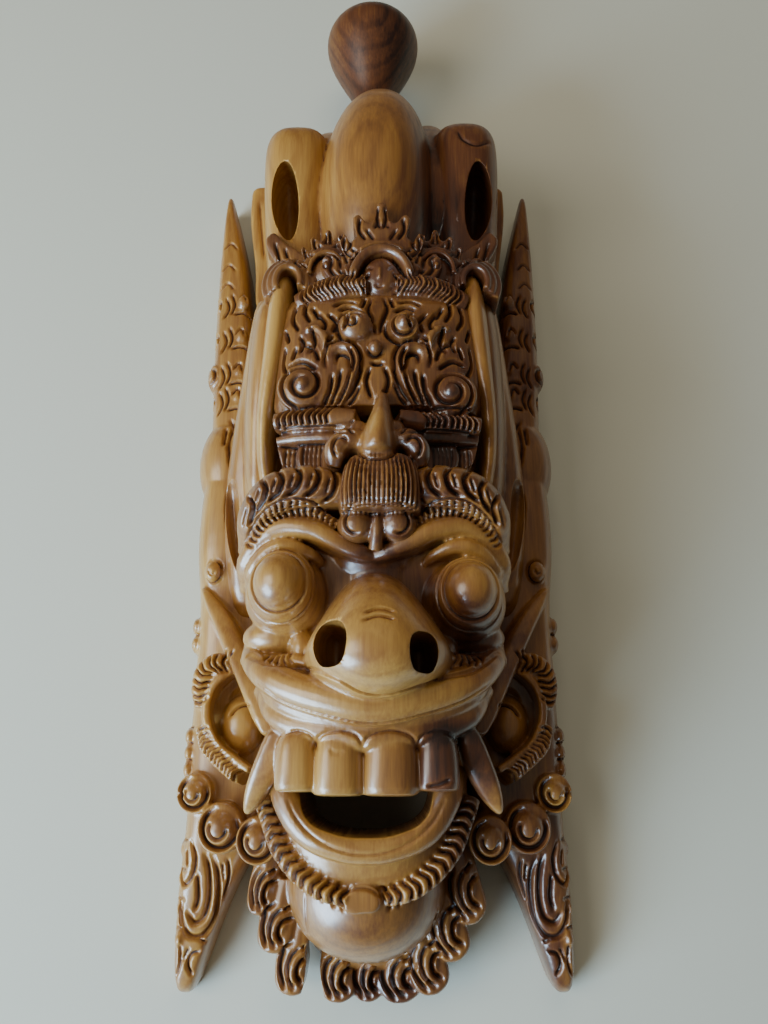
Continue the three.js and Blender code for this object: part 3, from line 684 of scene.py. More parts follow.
def small_cuts():
    """Leaves, scrolls, eyes, ropes, teeth and beard cut into the small head."""
    shared = [
        [(12, -20), (8, -13.4), (5.8, -6.4), (6.4, 0.8), (10.8, 4.8), (16.6, 4), (18.8, -0.6), (18.2, -5)],
        [(14.4, -20), (11, -13), (9.8, -6), (10.8, -1.2), (13.8, -0.6), (14.4, -3.6)],
        [(16.4, -19.6), (13.8, -12.6), (12.8, -7)],
        [(18.6, -19.6), (16.4, -14), (15.8, -8.6)],
        [(9, -8), (8.4, -3), (10, 1.2)],
        [(24, 1), (22.2, 5), (23.8, 10.4)],
        [(27.4, 1.6), (26.4, 5), (27.4, 7.6)],
        [(30.2, -0.6), (29, 3)],
        [(16, 9), (14.8, 13), (17.4, 16.4)],
        [(19.4, 9.4), (18.8, 13), (21.4, 17.4)],
        [(17.2, 4.4), (16.4, 7)],
        [(21, 15), (23.4, 19.6)],
        [(6.4, 17.6), (10, 19.4), (13.4, 18.4)],
        [(8, 21.8), (12, 22.4), (15.6, 20.4)],
        [(2.4, 24), (3.4, 19), (1.6, 13), (0.6, 8)],
        [(4.6, 24), (5.6, 20)],
        [(2.6, -6), (3.8, -11), (2.2, -17)],
        [(6, -12), (8, -17), (10.4, -19.6)],
        [(20.6, -2.4), (22.8, 2.6), (27, 4.8)],
        [(21.6, -5.8), (26.4, -2.6), (31, -3.6)],
        [(31.4, -8), (33.6, -2.6), (33, 4.4)],
        [(28.6, 11), (30.8, 16), (29.8, 22)],
        [(24.4, 14), (26.4, 18.6), (25.8, 23.6)],
        [(32, 7), (33.4, 12)],
        [(12, 8.4), (10.6, 12.6), (12.6, 16.4)],
        [(0.4, -4.4), (-1.8, -4.2)],
    ]
    made = []
    for side in SIDES:
        made += gouges([placed(SMALL_X, side, route) for route in shared], 0.95, 2.5)
    rounds = [
        spiral((-24.8, -12), 8.8, 300, -1.6, 0.3),
        spiral((26.8, -14.6), 8.8, 240, 1.6, 0.3),
        arc((-7, 10.6), (6.4, 6.6), 250, 10, 12),
        spiral((-7.4, 11.2), 3.6, 20, 1.1, 0.2),
        arc((10.6, 10.4), (4.2, 4.4), 0, 360, 13),
        arc((10.6, 10.4), (6.8, 6.6), 160, 330, 10),
        arc((0.4, 1.4), (2.8, 3), 180, 360, 7),
    ]
    made += gouges(rounds, 1, 2.6)
    ledge = [[(-34, -20.6), (-20, -20.8), (-6, -20.4)], [(7, -20.4), (22, -20.8), (36, -20.6)]]
    made += gouges(ledge, 0.8, 2)
    made.append(gouge(arc((SMALL_X, -39.4), (6.4, 4.4), 190, 350, 11), 0.9, 2.4))
    for side in SIDES:
        low = ROPE_LOWER[side]
        rope = placed(SMALL_X, side, [(16, -24.4 - low), (25, -24.2 - low), (35.4, -23.8 - low)])
        made += cord_cuts(rope, 9, 3.6, 0.8, 2.4, bow=1.1, slant=side * 16)
        lines = [
            [(12, -27.8 - low), (22, -27.8 - low), (34.6, -27.2 - low)],
            [(10, -33.6), (17, -32.6), (27, -32.2), (35, -31.4)],
        ]
        made += gouges([placed(SMALL_X, side, line) for line in lines], 0.75, 1.8)
        for x in (19.2, 20.7, 22.2, 23.7, 25.2, 28.6, 30.2, 31.8):
            flute = [(x, -32.6), (x + 0.4, -36), (x + 0.3, -41)]
            made.append(gouge(placed(SMALL_X, side, flute), 0.5, 1.4))
        nostril = arc((6.2, -30), (3.4, 4.2), 60, -70)
        curls = [arc((12, -38.6), (2.6, 3.4), 150, -60), arc((7.2, -62.6), (3.4, 3.8), 100, -110)]
        made.append(gouge(placed(SMALL_X, side, nostril), 0.7, 1.6))
        made += gouges([placed(SMALL_X, side, curl) for curl in curls], 0.8, 1.8)
    for i in range(17):
        x = (i - 8) * 1.55
        hair = shift(SMALL_X + 1, [(x * 0.86, -42), (x, -51), (x * 0.97, -60)])
        made.append(gouge(hair, 0.52, 1.9))
    return made


def small_head():
    """The small horned head, with the gaps between its jaws and its cheeks."""
    cutters = back_hollow(2)
    for side in SIDES:
        gap = [
            (37, -20, 80, 1), (37.6, -26, 76, 1.9), (37, -34, 74, 2.4),
            (34.6, -40.6, 72, 2.6), (31, -43, 70, 1.4),
        ]
        cutters += ridges([placed(SMALL_X, side, gap)], wall=5)
    # Partly painted shade: the right side of the mouth and cheek is painted darker. The middle of the nose is
    # lighter.
    spots = [(0, -30, 5, 9, -0.45), (0, -52, 12, 9, 0.05), (24, -30, 13, 14, 0.3), (26, -6, 12, 20, 0.12)]
    cuts = small_cuts()
    return carved("small_head", small_blocks(), FINE, 175000, cutters, cuts, spots=spots, back=50)


def horn(side):
    """A long smooth horn that frames the small head."""
    profile = (
        (34.8, 43, 3, 18), (35.6, 38, 5, 24), (36.2, 28, 6, 27.6), (36.8, 14, 6.2, 28.4),
        (38, 0, 5.6, 28), (40, -14, 4.6, 25.6), (41, -26, 3.6, 21.6), (40.6, -37, 3.2, 17.6),
        (38.4, -48, 2.6, 13.4), (37, -52, 1, 8),
    )
    stations = [(x, y, 50, half, high) for x, y, half, high in profile]
    blocks = hewn(placed(HORNS_X, side, stations), square=2.5)
    # The right horn is darker, partly as the wood's tone and partly as painted shade on the mask's shaded
    # right side.
    tone = 0 if side < 0 else 0.26
    return carved(SIDE_NAMES[side] + "_horn", blocks, BROAD, 20000, tone=tone, back=40)


# ---- Great face ----


def brow_band(side):
    """The row of hair scales over an eye, with a fine cord and the rolled lid below it."""
    hair = [
        (10, -50.6, 73, 5.4), (20, -49.8, 73.4, 7), (30, -51, 71.4, 7),
        (38, -56, 66.4, 5.8), (43.6, -65.6, 59, 3),
    ]
    cord = [
        (12, -61.4, 76, 1.6), (19, -58.4, 77, 2), (28.4, -57.6, 75.6, 2),
        (36, -61, 70.4, 2), (43, -69, 60, 1.6),
    ]
    lid = [
        (44.6, -78, 57, 2), (42, -70, 65, 3.2), (32, -62.8, 71.4, 3.8), (21.4, -63.4, 74.4, 3.6),
        (13, -67.4, 75, 3.2), (5, -70.6, 74, 2.8), (-1, -72, 73, 2),
    ]
    inner = [
        (43, -82, 61, 1), (39.4, -74, 69, 2.4), (30, -69, 74.4, 2.8),
        (22.4, -70.4, 73.6, 2), (17, -73.6, 67, 0.8),
    ]
    made = ridges([flip(side, route) for route in (hair, cord, lid, inner)], wall=1.6, fine=3)
    cuts = cord_cuts(flip(side, cord), 17, 1.7, 0.6, 1.5, bow=0.4)
    scales = [
        [(13.6, -44), (12, -48.6), (13.2, -53.6), (16.4, -56)],
        [(19.8, -42.6), (17.6, -47.4), (18.8, -52.4), (22.6, -55.4)],
        [(26.2, -42.8), (23.8, -47.6), (25, -52.4), (28.8, -55)],
        [(32.2, -44), (29.8, -49), (31.2, -53.6), (35, -56.4)],
        [(37.4, -47.4), (35.2, -52), (36.8, -56.6), (40, -59.4)],
        [(41.6, -53), (39.8, -57.2), (41.6, -62)],
    ]
    for route in scales:
        cuts.append(gouge(flip(side, route), 1.1, 2.8))
        cuts.append(gouge(flip(side, shift(2.2, route[1:3])), 0.6, 1.2))
    edges = [(43.4, -66), (37, -59.4), (28.4, -55.6), (19.6, -56.2), (11, -59)]
    cuts.append(gouge(flip(side, edges), 0.7, 1.6))
    return made, cuts


EYES = {-1: (-30.3, -81.8), 1: (31.4, -84.4)}


def eye(side):
    """A bulging eye on stepped rings."""
    x, y = EYES[side]
    made = lump((x * 0.97, y - 1.6, 66), (14.4, 14.8, 17.6), rings=28)
    made += lump((x - side * 0.4, y - 0.6, 77), (11.4, 12.6, 10.6), rings=24)
    made += lump((x, y, 82.4), (8.4, 9.2, 9), rings=24)
    cuts = gouges([arc((x, y - 0.2), (8.9, 9.9), 0, 360, 17)], 0.7, 1.3)
    return made, cuts + gouges([arc((x, y - 0.8), (11, 12.2), 0, 360, 17)], 0.6, 1)


def nose():
    """The broad smooth nose, wide at the nostrils."""
    stations = [
        (-0.6, -77.4, 72, 3.6, 7), (-0.6, -80.8, 71, 9.4, 18.6), (-0.4, -87, 70, 14.4, 28),
        (0, -94.4, 70, 18.8, 33.4), (0.4, -101, 70, 23.4, 36.4), (0.6, -107, 70, 24.6, 37),
        (0.5, -112.4, 70, 21, 35), (0.2, -117, 70, 13, 29), (0, -120, 70, 6, 20),
    ]
    made = hewn(shift(NOSE_X, stations), square=2.3, sides=56)
    wrinkles = [[(-2, -95.4), (2, -94.2), (6.6, -95.2)], [(-2.4, -97.8), (2, -96.6), (6.6, -97.6)]]
    return made, gouges(wrinkles, 0.7, 1.3)


def nostrils():
    """Two deep holes. The left one is wider, and the right one lower."""
    left = ((-111, 2.4), (-109, 4.6), (-104, 6.2), (-99.2, 5.2), (-96.8, 2.4))
    right = ((-112.6, 2.2), (-111, 3.9), (-106.8, 5.2), (-102.6, 4.5), (-100.4, 2.2))
    made = []
    for x, profile in ((-13.4, left), (13.8, right)):
        made += hewn([(NOSE_X + x, y, 92, half, 24) for y, half in profile])
    return made


def cheek(side):
    """A cheek with a rolled edge over the lip."""
    made = lump((side * 33, -97.2, 62), (11.6, 7, 10.4), rings=20)
    made += lump((side * 23.6, -101.4, 66), (5, 7, 9))
    roll = [(41, -103, 60, 2), (33, -106, 67, 2.6), (26.4, -106, 71, 2.4), (20, -107.6, 74, 2)]
    fill = [(42, -104.4, 55, 3), (34, -109, 62.6, 4.4), (25, -111, 68, 4.4), (17, -112, 72, 3)]
    made += ridges([flip(side, roll), flip(side, fill)], wall=1)
    pleats = flip(side, [(36, -105.4), (31, -106), (26, -105.4)])
    return made, cord_cuts(pleats, 5, 2.2, 0.6, 1.4, bow=-0.7)


def upper_lip():
    """The long curved upper lip: a broad band, a thin bead under it, and the gum."""
    lip = [(43, -99, 56, 1.6), (38.6, -107, 63.6, 4), (29, -113.6, 70.6, 5.4), (14, -118.6, 75.6, 5.8)]
    bead = [(41, -105, 57, 1), (35.4, -115, 64.6, 2), (27.6, -120.4, 71, 2.6), (13, -124.8, 75.4, 2.8)]
    gum = [(37, -115, 56, 3), (28.6, -124, 64.6, 4.6), (13, -128, 69.6, 5.4)]
    routes = [
        arched(lip, (0.4, -121.2, 77, 5.8)),
        arched(bead, (0.4, -126.8, 76.4, 2.8)),
        arched(gum, (0.4, -129.6, 71, 5.4)),
    ]
    made = ridges(routes, wall=1, fine=4)
    valley = [
        (-41, -104), (-33, -107.4), (-22, -109), (-11, -114), (-3, -118),
        (5, -118.4), (14, -115.6), (23, -112), (32, -109.6), (41, -103),
    ]
    under = [(-37, -113), (-28, -119.6), (-14, -124), (0.4, -126.4), (14, -124), (28, -119.4), (37, -113.6)]
    return made, [gouge(valley, 1.3, 1.6), gouge(under, 0.7, 1)]


# Each tooth's middle, half width, height and foot
TEETH = (
    (-24, 6.8, 9.4, -146.6),
    (-10.6, 8, 11.6, -147.8),
    (5.4, 8.8, 12, -147.8),
    (20.2, 6.8, 9.6, -146.4),
)
TOOTH_TOP = ((-1, -134), (-0.7, -129.8), (0, -128.2), (0.7, -129.8), (1, -134))


def teeth():
    """Four broad upper teeth that touch each other, with rounded tops."""
    made = hewn([(-1, -126, 66, 26, 9), (-1, -140, 66, 25, 10), (-1, -145, 66, 24, 9)], square=3)
    cuts = []
    for x, half, high, foot in TEETH:
        profile = (
            (-127.6, 0.4, -1.6), (-128.8, 0.74, 0), (-131.4, 0.98, 1),
            (-137, 1.08, 1.6), (foot + 1.2, 1.06, 1), (foot, 1.02, -0.2),
        )
        stations = [(x, y, 68, half * share, high + more) for y, share, more in profile]
        made += hewn(stations, square=2.9, soft=1)
        top = [(x + half * share, y) for share, y in TOOTH_TOP]
        cuts.append(gouge(top, 0.6, 0.9))
    chip = [(17, -144.8), (20, -144.2), (24, -142.6)]
    scratches = [[(-13, -134), (-10, -135.2)], [(-12.4, -135.2), (-9, -134.4)]]
    return made, cuts + [gouge(chip, 0.9, 1.2)] + gouges(scratches, 0.4, 0.3)


def tusk(side):
    """A flat blade that hangs down and out from the end of the tooth row."""
    stations = [
        (30, -124.6, 64, 1.6, 4), (31, -128.4, 64, 4, 7.2), (33, -136, 62.6, 5, 7),
        (36.8, -144.6, 59.6, 4.8, 6), (39.8, -151, 57, 2.8, 4.6), (41.4, -154, 56, 0.7, 3),
    ]
    return hewn(flip(side, stations), square=3.6, soft=1)


def great_face():
    """The great face from brow to teeth, open behind the teeth."""
    profile = ((-50, 44, 32), (-66, 43.6, 33), (-90, 43, 30), (-108, 41, 30), (-122, 37, 31), (-134, 33, 32))
    blocks = hewn([(0, y, 40, half, high) for y, half, high in profile], square=3.2)
    blocks += lump((0, -66, 62), (20, 16, 15), rings=24)
    blocks += lump((1, -76, 62), (14, 16, 12), rings=24)
    cuts = []
    parts = [nose(), upper_lip(), teeth()]
    for side in SIDES:
        parts += [brow_band(side), eye(side), cheek(side)]
        blocks += tusk(side)
    for made, strokes in parts:
        blocks += made
        cuts += strokes
    # Partly the wood's own tone and partly painted shade: darker at the inner eye corners, in the valley over
    # the lip, along the gum, and on the right cheek, teeth and tusk.
    spots = [
        (0, -74, 18, 8, 0.62), (-25, -52, 24, 8, 0.52), (27, -52, 24, 8, 0.56), (-42, -62, 5, 9, 0.2),
        (43, -62, 5, 9, 0.2), (-15, -84, 6, 8, 0.4), (17, -82, 7, 8, 0.45), (34, -101, 13, 9, 0.62),
        (-30, -90, 15, 5, 0.22), (31, -92, 16, 7, 0.35), (0, -109, 42, 3.4, 0.12), (6, -140, 8, 12, 0.22),
        (20.4, -138, 6.6, 14, 0.75), (35, -138, 8, 16, 0.6), (28, -128, 13, 5, 0.3), (-35, -140, 6, 14, 0.14),
        (0, -128, 34, 3, 0.2),
    ]
    behind_teeth = [(0, -160, 30, 26, 34), (0, -146, 30, 26, 34), (0, -137, 30, 24, 32)]
    cutters = nostrils() + hewn(behind_teeth, square=3) + back_hollow(2)
    return carved("great_face", blocks, FINE, 170000, cutters, cuts, tone=0.1, spots=spots, back=46)


# ---- Jaw and beard ----

# The beard's leaves: foot, tip, half width and height
LOBES = (
    ((-36, -164), (-41, -188.6), 5, 31),
    ((-31, -176), (-36.2, -201), 6.2, 28),
    ((-25, -188), (-29.6, -215), 6.6, 24),
    ((-12, -194), (-13.2, -220), 6.6, 19),
    ((-2.4, -196), (-2.2, -220), 5.8, 18),
    ((7, -194), (9.8, -219.6), 7.6, 19.4),
    ((14.6, -188), (21, -215), 7, 23),
    ((21, -176), (28.6, -203.6), 6.8, 27.6),
    ((27, -162), (34.4, -191.4), 6.6, 31),
)


def lobe(foot, tip, half, high):
    """A blunt leaf of the beard, with the cuts of a smaller leaf on it."""
    root = np.array(foot, float)
    end = np.array((tip[0], max(tip[1], CHIN - PAST_CHIN)), float)
    run = (end - root) / np.linalg.norm(end - root)
    side = np.array((-run[1], run[0]))
    length = np.linalg.norm(end - root)

    def on_leaf(points):
        """Places from shares of the leaf's length and half width."""
        return [tuple(root + run * length * down + side * half * across) for down, across in points]

    shape = (
        (0, -0.8), (0.4, -1), (0.74, -0.98), (0.93, -0.7), (1, -0.1),
        (0.97, 0.5), (0.86, 0.94), (0.6, 1), (0.3, 0.96), (0, 0.8),
    )
    made = board(on_leaf(shape), 4, high - 2, edge=2)
    swell = []
    for t, share in ((0, 0.7), (0.34, 0.84), (0.66, 0.8), (0.86, 0.5)):
        thick = half * share
        swell.append((*(root + run * length * t), high - thick - 1.4 * t**2, thick))
    made += ridges([swell], wall=0.2)
    veins = (
        ((0.36, -0.34), (0.5, -0.7), (0.7, -0.74), (0.92, -0.3)),
        ((0.4, 0.26), (0.54, -0.24), (0.76, -0.3), (0.9, 0.16)),
        ((0.5, 0.86), (0.58, 0.34), (0.72, 0.22), (0.84, 0.56)),
        ((0.36, 0.7), (0.42, 0.3)),
    )
    return made, gouges([on_leaf(vein) for vein in veins], 1.05, 2.5)


def jaw():
    """The lower lip, smooth jaw and chin, the cord with its boss, and the leaves of the beard."""
    lip = [(29, -140, 52, 4), (25.4, -150, 55.4, 4.8), (18.6, -158.4, 57, 5), (8.6, -162.6, 58, 5)]
    blocks = ridges([shift(JAW_X, arched(lip, (0, -163.6, 58.2, 5)))], wall=1, fine=4)
    profile = ((-138, 37, 31), (-150, 36, 36.4), (-162, 33, 38.6), (-171, 28, 37), (-180, 19, 32.6))
    blocks += hewn([(JAW_X, y, 22, half, high) for y, half, high in profile], square=3)
    blocks += lump((JAW_X - 0.4, -178.6, 27), (27.6, 24.4, 27), rings=36)
    boss = [
        (-7, -181), (-6.4, -177), (-3.4, -175.4), (3, -175.4),
        (5.4, -177.6), (5.2, -182), (0, -183.4), (-5, -183),
    ]
    blocks += board(shift(JAW_X - 1.2, boss), 44, 57.4, edge=1.4)
    cuts = [gouge(shift(JAW_X, arc((0, -141), (26.6, 24), 200, 340, 15)), 0.6, 0.8)]
    half_cord = [
        (6, -179.4, 52.4, 2.4), (14, -176.6, 51.6, 3.4), (22, -171.4, 49, 3.6),
        (28, -164.8, 46.6, 3.6), (31.8, -157.4, 44.6, 3.4), (35.4, -149.6, 43, 3),
    ]
    for side in SIDES:
        cord = placed(JAW_X, side, half_cord)
        blocks += ridges([cord], wall=1.4, fine=3)
        cuts += cord_cuts(cord, 13, 3.6, 1, 2.4, bow=1.1)
    for leaf in LOBES:
        made, strokes = lobe(*leaf)
        blocks += made
        cuts += strokes
    crack = [(-22.6, -179), (-22.4, -186), (-21.6, -193)]
    cuts.append(gouge(crack, 0.4, 0.6))
    cuts.append(gouge(arc((JAW_X - 1.4, -180.4), (6.6, 4.6), 20, 160), 0.6, 1))
    split = [(-23, -197), (-20.4, -196), (-19.6, -206), (-19.6, -226), (-23.6, -226), (-23.8, -206)]
    cutters = mouth_opening() + board(split, -2, 70, edge=0.1) + back_hollow(1)
    # Painted shade inside the mouth and down the right side. The chin and the beard's lower edge are darker,
    # and the top of the lower lip lighter.
    spots = [
        (-38, -190, 9, 24, 0.3), (32, -186, 12, 26, 0.36), (0, -214, 34, 10, 0.38),
        (22, -156, 12, 12, 0.12), (-2, -188, 22, 15, 0.24), (-2, -160, 24, 4, -0.1),
        (32, -160, 6, 14, 0.3), (-33, -162, 6, 14, 0.15), (-2, -150, 20, 8, 0.3),
    ]
    rough = remeshed(joined(blocks, "jaw_and_beard"), FINE)
    cut(rough, cutters)
    return carved("jaw_and_beard", [rough], FINE, 160000, cuts=cuts, tone=0.2, spots=spots)


# ---- Ear panels ----

# Each snail curl's middle (x, y), height and radius
RING_CURLS = ((65, -148, 31, 6.4), (54.6, -159.6, 33, 8.2), (40.6, -163.4, 37, 7.6))


def panel_blank(side):
    """The long panel beside the face, with a spike at each end."""
    # Down the panel: y, its inner and outer edge, and its height
    profile = [
        (120, 68.2, 69.6, 17), (112, 66.2, 70.4, 20), (92, 61, 71, 24), (60, 54.6, EDGE - 1, 27),
        (16, 51, EDGE - 1.6, 29), (-8, 46, EDGE - 3, 28), (-30, 42, EDGE - 1, 33), (-60, 42, EDGE, 34),
        (-74, 42, EDGE - 3, 31), (-100, 38, EDGE - 2, 28), (-136, 33, EDGE - 1, 26), (-160, 38, EDGE - 2, 25),
        (-176, 50, EDGE, 21), (-200, 59, EDGE + 0.4, 17), (-212, 63, EDGE, 14), (-218, 66.4, EDGE - 1.6, 9),
    ]
    stations = [(side * (a + b) / 2, y, 0, (b - a) / 2, high) for y, a, b, high in profile]
    return hewn(stations, square=4) + lump((side * 61, -20, 21), (12, 21, 12), rings=24)


def ear(side):
    """An ear: a raised rim round a dished disc, between two rows of cord."""
    rim = [
        (49.4, -103.6, 33), (56, -107.6, 33.6), (59.6, -112.4, 33.6), (61, -119.4, 33.6),
        (59.4, -126.4, 33.6), (56, -131.8, 34), (50, -136.2, 35.4), (43, -140.4, 37.4),
    ]
    made = ridges([tapered(flip(side, rim), 1.5, 0.8)], wall=3)
    upper = flip(side, [
        (51.6, -102.4, 30.6, 2.4), (57, -102.6, 30.2, 4), (62, -105.6, 29.4, 3.8),
        (64, -111.6, 29, 3.2), (63.8, -118, 28.6, 2.2),
    ])
    lower = flip(side, [
        (62.6, -125.4, 28.6, 2.6), (59.6, -131.6, 29.6, 3.2),
        (54.4, -136.6, 32, 3.2), (47.6, -142.4, 35, 2.8),
    ])
    made += ridges([upper, lower], wall=2, fine=3)
    cuts = cord_cuts(upper, 10, 3.8, 0.74, 2, bow=1.2)
    return made, cuts + cord_cuts(lower, 13, 2.8, 0.66, 1.8, bow=-0.9)


def ear_dish(side):
    """The hollow round an ear's disc."""
    return lump((side * 49.6, -119.4, 35), (9.2, 13.4, 11), rings=24)


def ear_disc(side):
    """The swelling in an ear's dish, with a comma cut over it."""
    made = lump((side * 49, -124, 26.6), (8, 10.8, 9.6), rings=28)
    comma = [(43.6, -118.6), (47, -117.2), (50.4, -118.4), (53, -121.6)]
    return made, [gouge(flip(side, comma), 0.85, 2.2)]


def strap(side):
    """The thin strap that stands up between an ear and the mouth, down to the tusk."""
    stations = [
        (67, -72, 27, 0.8, 5), (62.6, -78, 28, 3.2, 8), (56.6, -87, 30, 4.6, 9),
        (49, -101, 34, 4.9, 10), (41.4, -116, 39, 4.8, 11), (35, -131, 44, 3.6, 10),
    ]
    return hewn(flip(side, stations), square=4, soft=1)


def ring_curls(side):
    """Three snail curls between the ear and the lower spike."""
    made = []
    cuts = []
    for x, y, z, radius in RING_CURLS:
        x *= side
        off = radius * 0.05
        made += board(arc((x, y), (radius, radius * 1.08), 0, 330, 12), 4, z, edge=1.6)
        made += lump((x, y, z - 3.4), (radius * 0.74, radius * 0.8, 6.6), rings=20)
        cuts.append(gouge(arc((x, y), (radius * 0.76, radius * 0.82), 110, 380, 13), 1.15, 3.2))
        inner = arc((x - off, y - off), (radius * 0.4, radius * 0.44), 150, 360)
        cuts.append(gouge(inner, 1, 2.8))
    return made, cuts


def spike_cuts(side):
    """Leaf cuts down the lower spike."""
    shared = [
        [
            (58.6, -170), (56.6, -176), (56.2, -184), (57.4, -191),
            (61, -196.4), (66, -196.8), (69.4, -192), (70, -184),
        ],
        [(61, -169.4), (59.6, -176), (59.4, -184), (61, -190.4), (64.6, -192.4), (67, -189)],
        [(64, -176), (63.4, -184), (64.4, -188)],
        [(66.6, -165), (64.8, -171), (66, -177), (69.4, -179.6), (71, -174)],
        [(68.4, -168), (68, -173)],
        [(53, -171), (52.6, -177), (54.8, -185)],
        [(55, -172.4), (54.4, -178)],
        [(62.4, -202), (65.4, -203), (66.6, -206.6), (65.2, -210)],
        [(69.6, -200), (69.4, -206), (71, -210.6)],
        [(66.4, -201), (68.4, -205.4)],
        [(60.4, -199), (63, -198)],
    ]
    widths = (1.3, 1.2, 1, 1, 0.7, 0.8, 0.6, 0.9, 0.6, 0.6, 0.6)
    return [gouge(flip(side, route), width, 1 + width) for route, width in zip(shared, widths)]


def upper_trim(side):
    """Bars, small leaves and bumps up the upper spike, and the knob at the panel's middle."""
    knob_at = (side * 62.4, -67)
    made = lump((*knob_at, 31), (3.6, 4.6, 5.4)) + lump((side * 68, 20, 22), (4, 7, 6))
    cuts = [gouge(arc(knob_at, (3.4, 4.4), 0, 360, 11), 0.9, 2)]
    cuts.append(gouge(arc(knob_at, (1.3, 1.8), 180, 340, 7), 0.7, 1))
    # One bar of the spike, from its lower edge up, with the width and depth of each stroke
    bar = (
        ([(54, 0), (58, 1), (61.6, 0)], 0.8, 1.8),
        ([(63, 10), (61.6, 5), (63, 0)], 0.7, 1.6),
        ([(65.4, 8), (64, 3), (66, -2)], 0.7, 1.6),
        ([(56.4, 6), (58, 10), (60.4, 7)], 0.7, 1.4),
        ([(71.6, 9), (68.6, 7), (68.4, 3), (71.4, 1)], 0.9, 2),
    )
    for foot in (49, 32, 15, 3):
        for route, width, depth in bar:
            cuts.append(gouge(flip(side, [(x, foot + up) for x, up in route]), width, depth))
        made += lump((side * 58, foot + 6, 26), (2.6, 3.6, 3.2))
    for y in (62, 72, 84):
        cuts.append(gouge(flip(side, [(62.6, y), (65.6, y + 3), (68.6, y)]), 0.7, 1.1))
    leaf = [
        [(60, -2), (56.8, -8), (55.4, -18), (56, -28)],
        [(58.6, -5), (59.6, -14), (58, -24)],
        [(61.4, -6), (61.6, -14)],
    ]
    cuts += [gouge(flip(side, route), 1, 2) for route in leaf]
    for y in (-86, -93, -128, -134, -140, -152, -168, -178, -188, -198):
        made += lump((side * (EDGE - 2.6), y, 16 if y > -150 else 11), (2.4, 3.8, 7))
        cuts.append(gouge(flip(side, [(EDGE, y + 4), (EDGE - 4, y + 3.4)]), 0.8, 1.6))
    return made, cuts


# Each panel's tone and spots. The right panel is darker, partly as painted shade. The left ear's upper hollow
# and the right lower spike are painted darker as shade, and the ear discs are painted lighter as painted
# highlight.
PANEL_TONE_AND_SHADE = {
    -1: (0.16, [
        (-52, -111, 7, 5, 0.12), (-60, 20, 9, 40, 0.1), (-68, -60, 8, 60, -0.1),
        (-54.6, -159, 9, 9, 0.15), (-41, -163, 9, 9, 0.2), (-49, -122, 11, 15, -0.34),
    ]),
    1: (0.55, [
        (51, -121, 11, 15, -0.22), (62, -196, 12, 26, 0.14), (70, -196, 4, 30, -0.3),
        (66, -84, 7, 24, -0.28), (66, -148, 6, 8, -0.35), (62, 110, 10, 30, 0.1),
    ]),
}


def ear_panel(side):
    """One ear panel with its ear, curls and spikes. The left one is pale and the right one dark, partly as
    the wood's tone and partly as painted shade.
    """
    name = SIDE_NAMES[side] + "_panel"
    blocks = panel_blank(side) + strap(side)
    cuts = spike_cuts(side)
    for made, strokes in (ear(side), ring_curls(side), upper_trim(side)):
        blocks += made
        cuts += strokes
    scoop = [
        (57, -31, 42, 4, 8), (56.4, -36, 42, 5, 14), (55.4, -48, 42, 4.8, 15),
        (53.4, -60, 40, 3.6, 12), (50.6, -70, 38, 1.4, 6),
    ]
    cutters = hewn(flip(side, scoop)) + ear_dish(side)
    piece = remeshed(joined(blocks, name), FINE)
    cut(piece, cutters)
    disc, comma = ear_disc(side)
    tone, spots = PANEL_TONE_AND_SHADE[side]
    return carved(name, [piece] + disc, FINE, 140000, cuts=cuts + comma, tone=tone, spots=spots)


# ---- Finial ----


def finial():
    """The club-shaped knob on top, a piece of its own."""
    x = (FINIAL_LOW.x + FINIAL_HIGH.x) / 2
    z = (FINIAL_LOW.z + FINIAL_HIGH.z) / 2
    radius = (FINIAL_HIGH.x - FINIAL_LOW.x) / 2
    # Heights over its foot, and its radius there in shares
    profile = (
        (0, 0.42), (4, 0.38), (12, 0.38), (18, 0.44), (25, 0.61), (34, 0.83), (43, 1),
        (50, 1.04), (56, 0.94), (61, 0.7), (63.4, 0.32),
    )
    stations = [(x, FINIAL_LOW.y + y, z, share * radius, share * radius) for y, share in profile]
    piece = joined(hewn(stations, sides=48), "finial_knob")
    # The knob's right side is painted darker, as painted shade.
    tone_and_shade(piece, 0.62, [(x + 14, 190, 9, 30, 0.2)])
    to_metres(piece)
    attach(piece, "root")
    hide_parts("crown_finial")
    return piece


pieces = [core(), tiara(), small_head(), great_face(), jaw()]
for side in SIDES:
    pieces += [horn(side), ear_panel(side)]
knob = finial()


# ---- Varnished wood ----


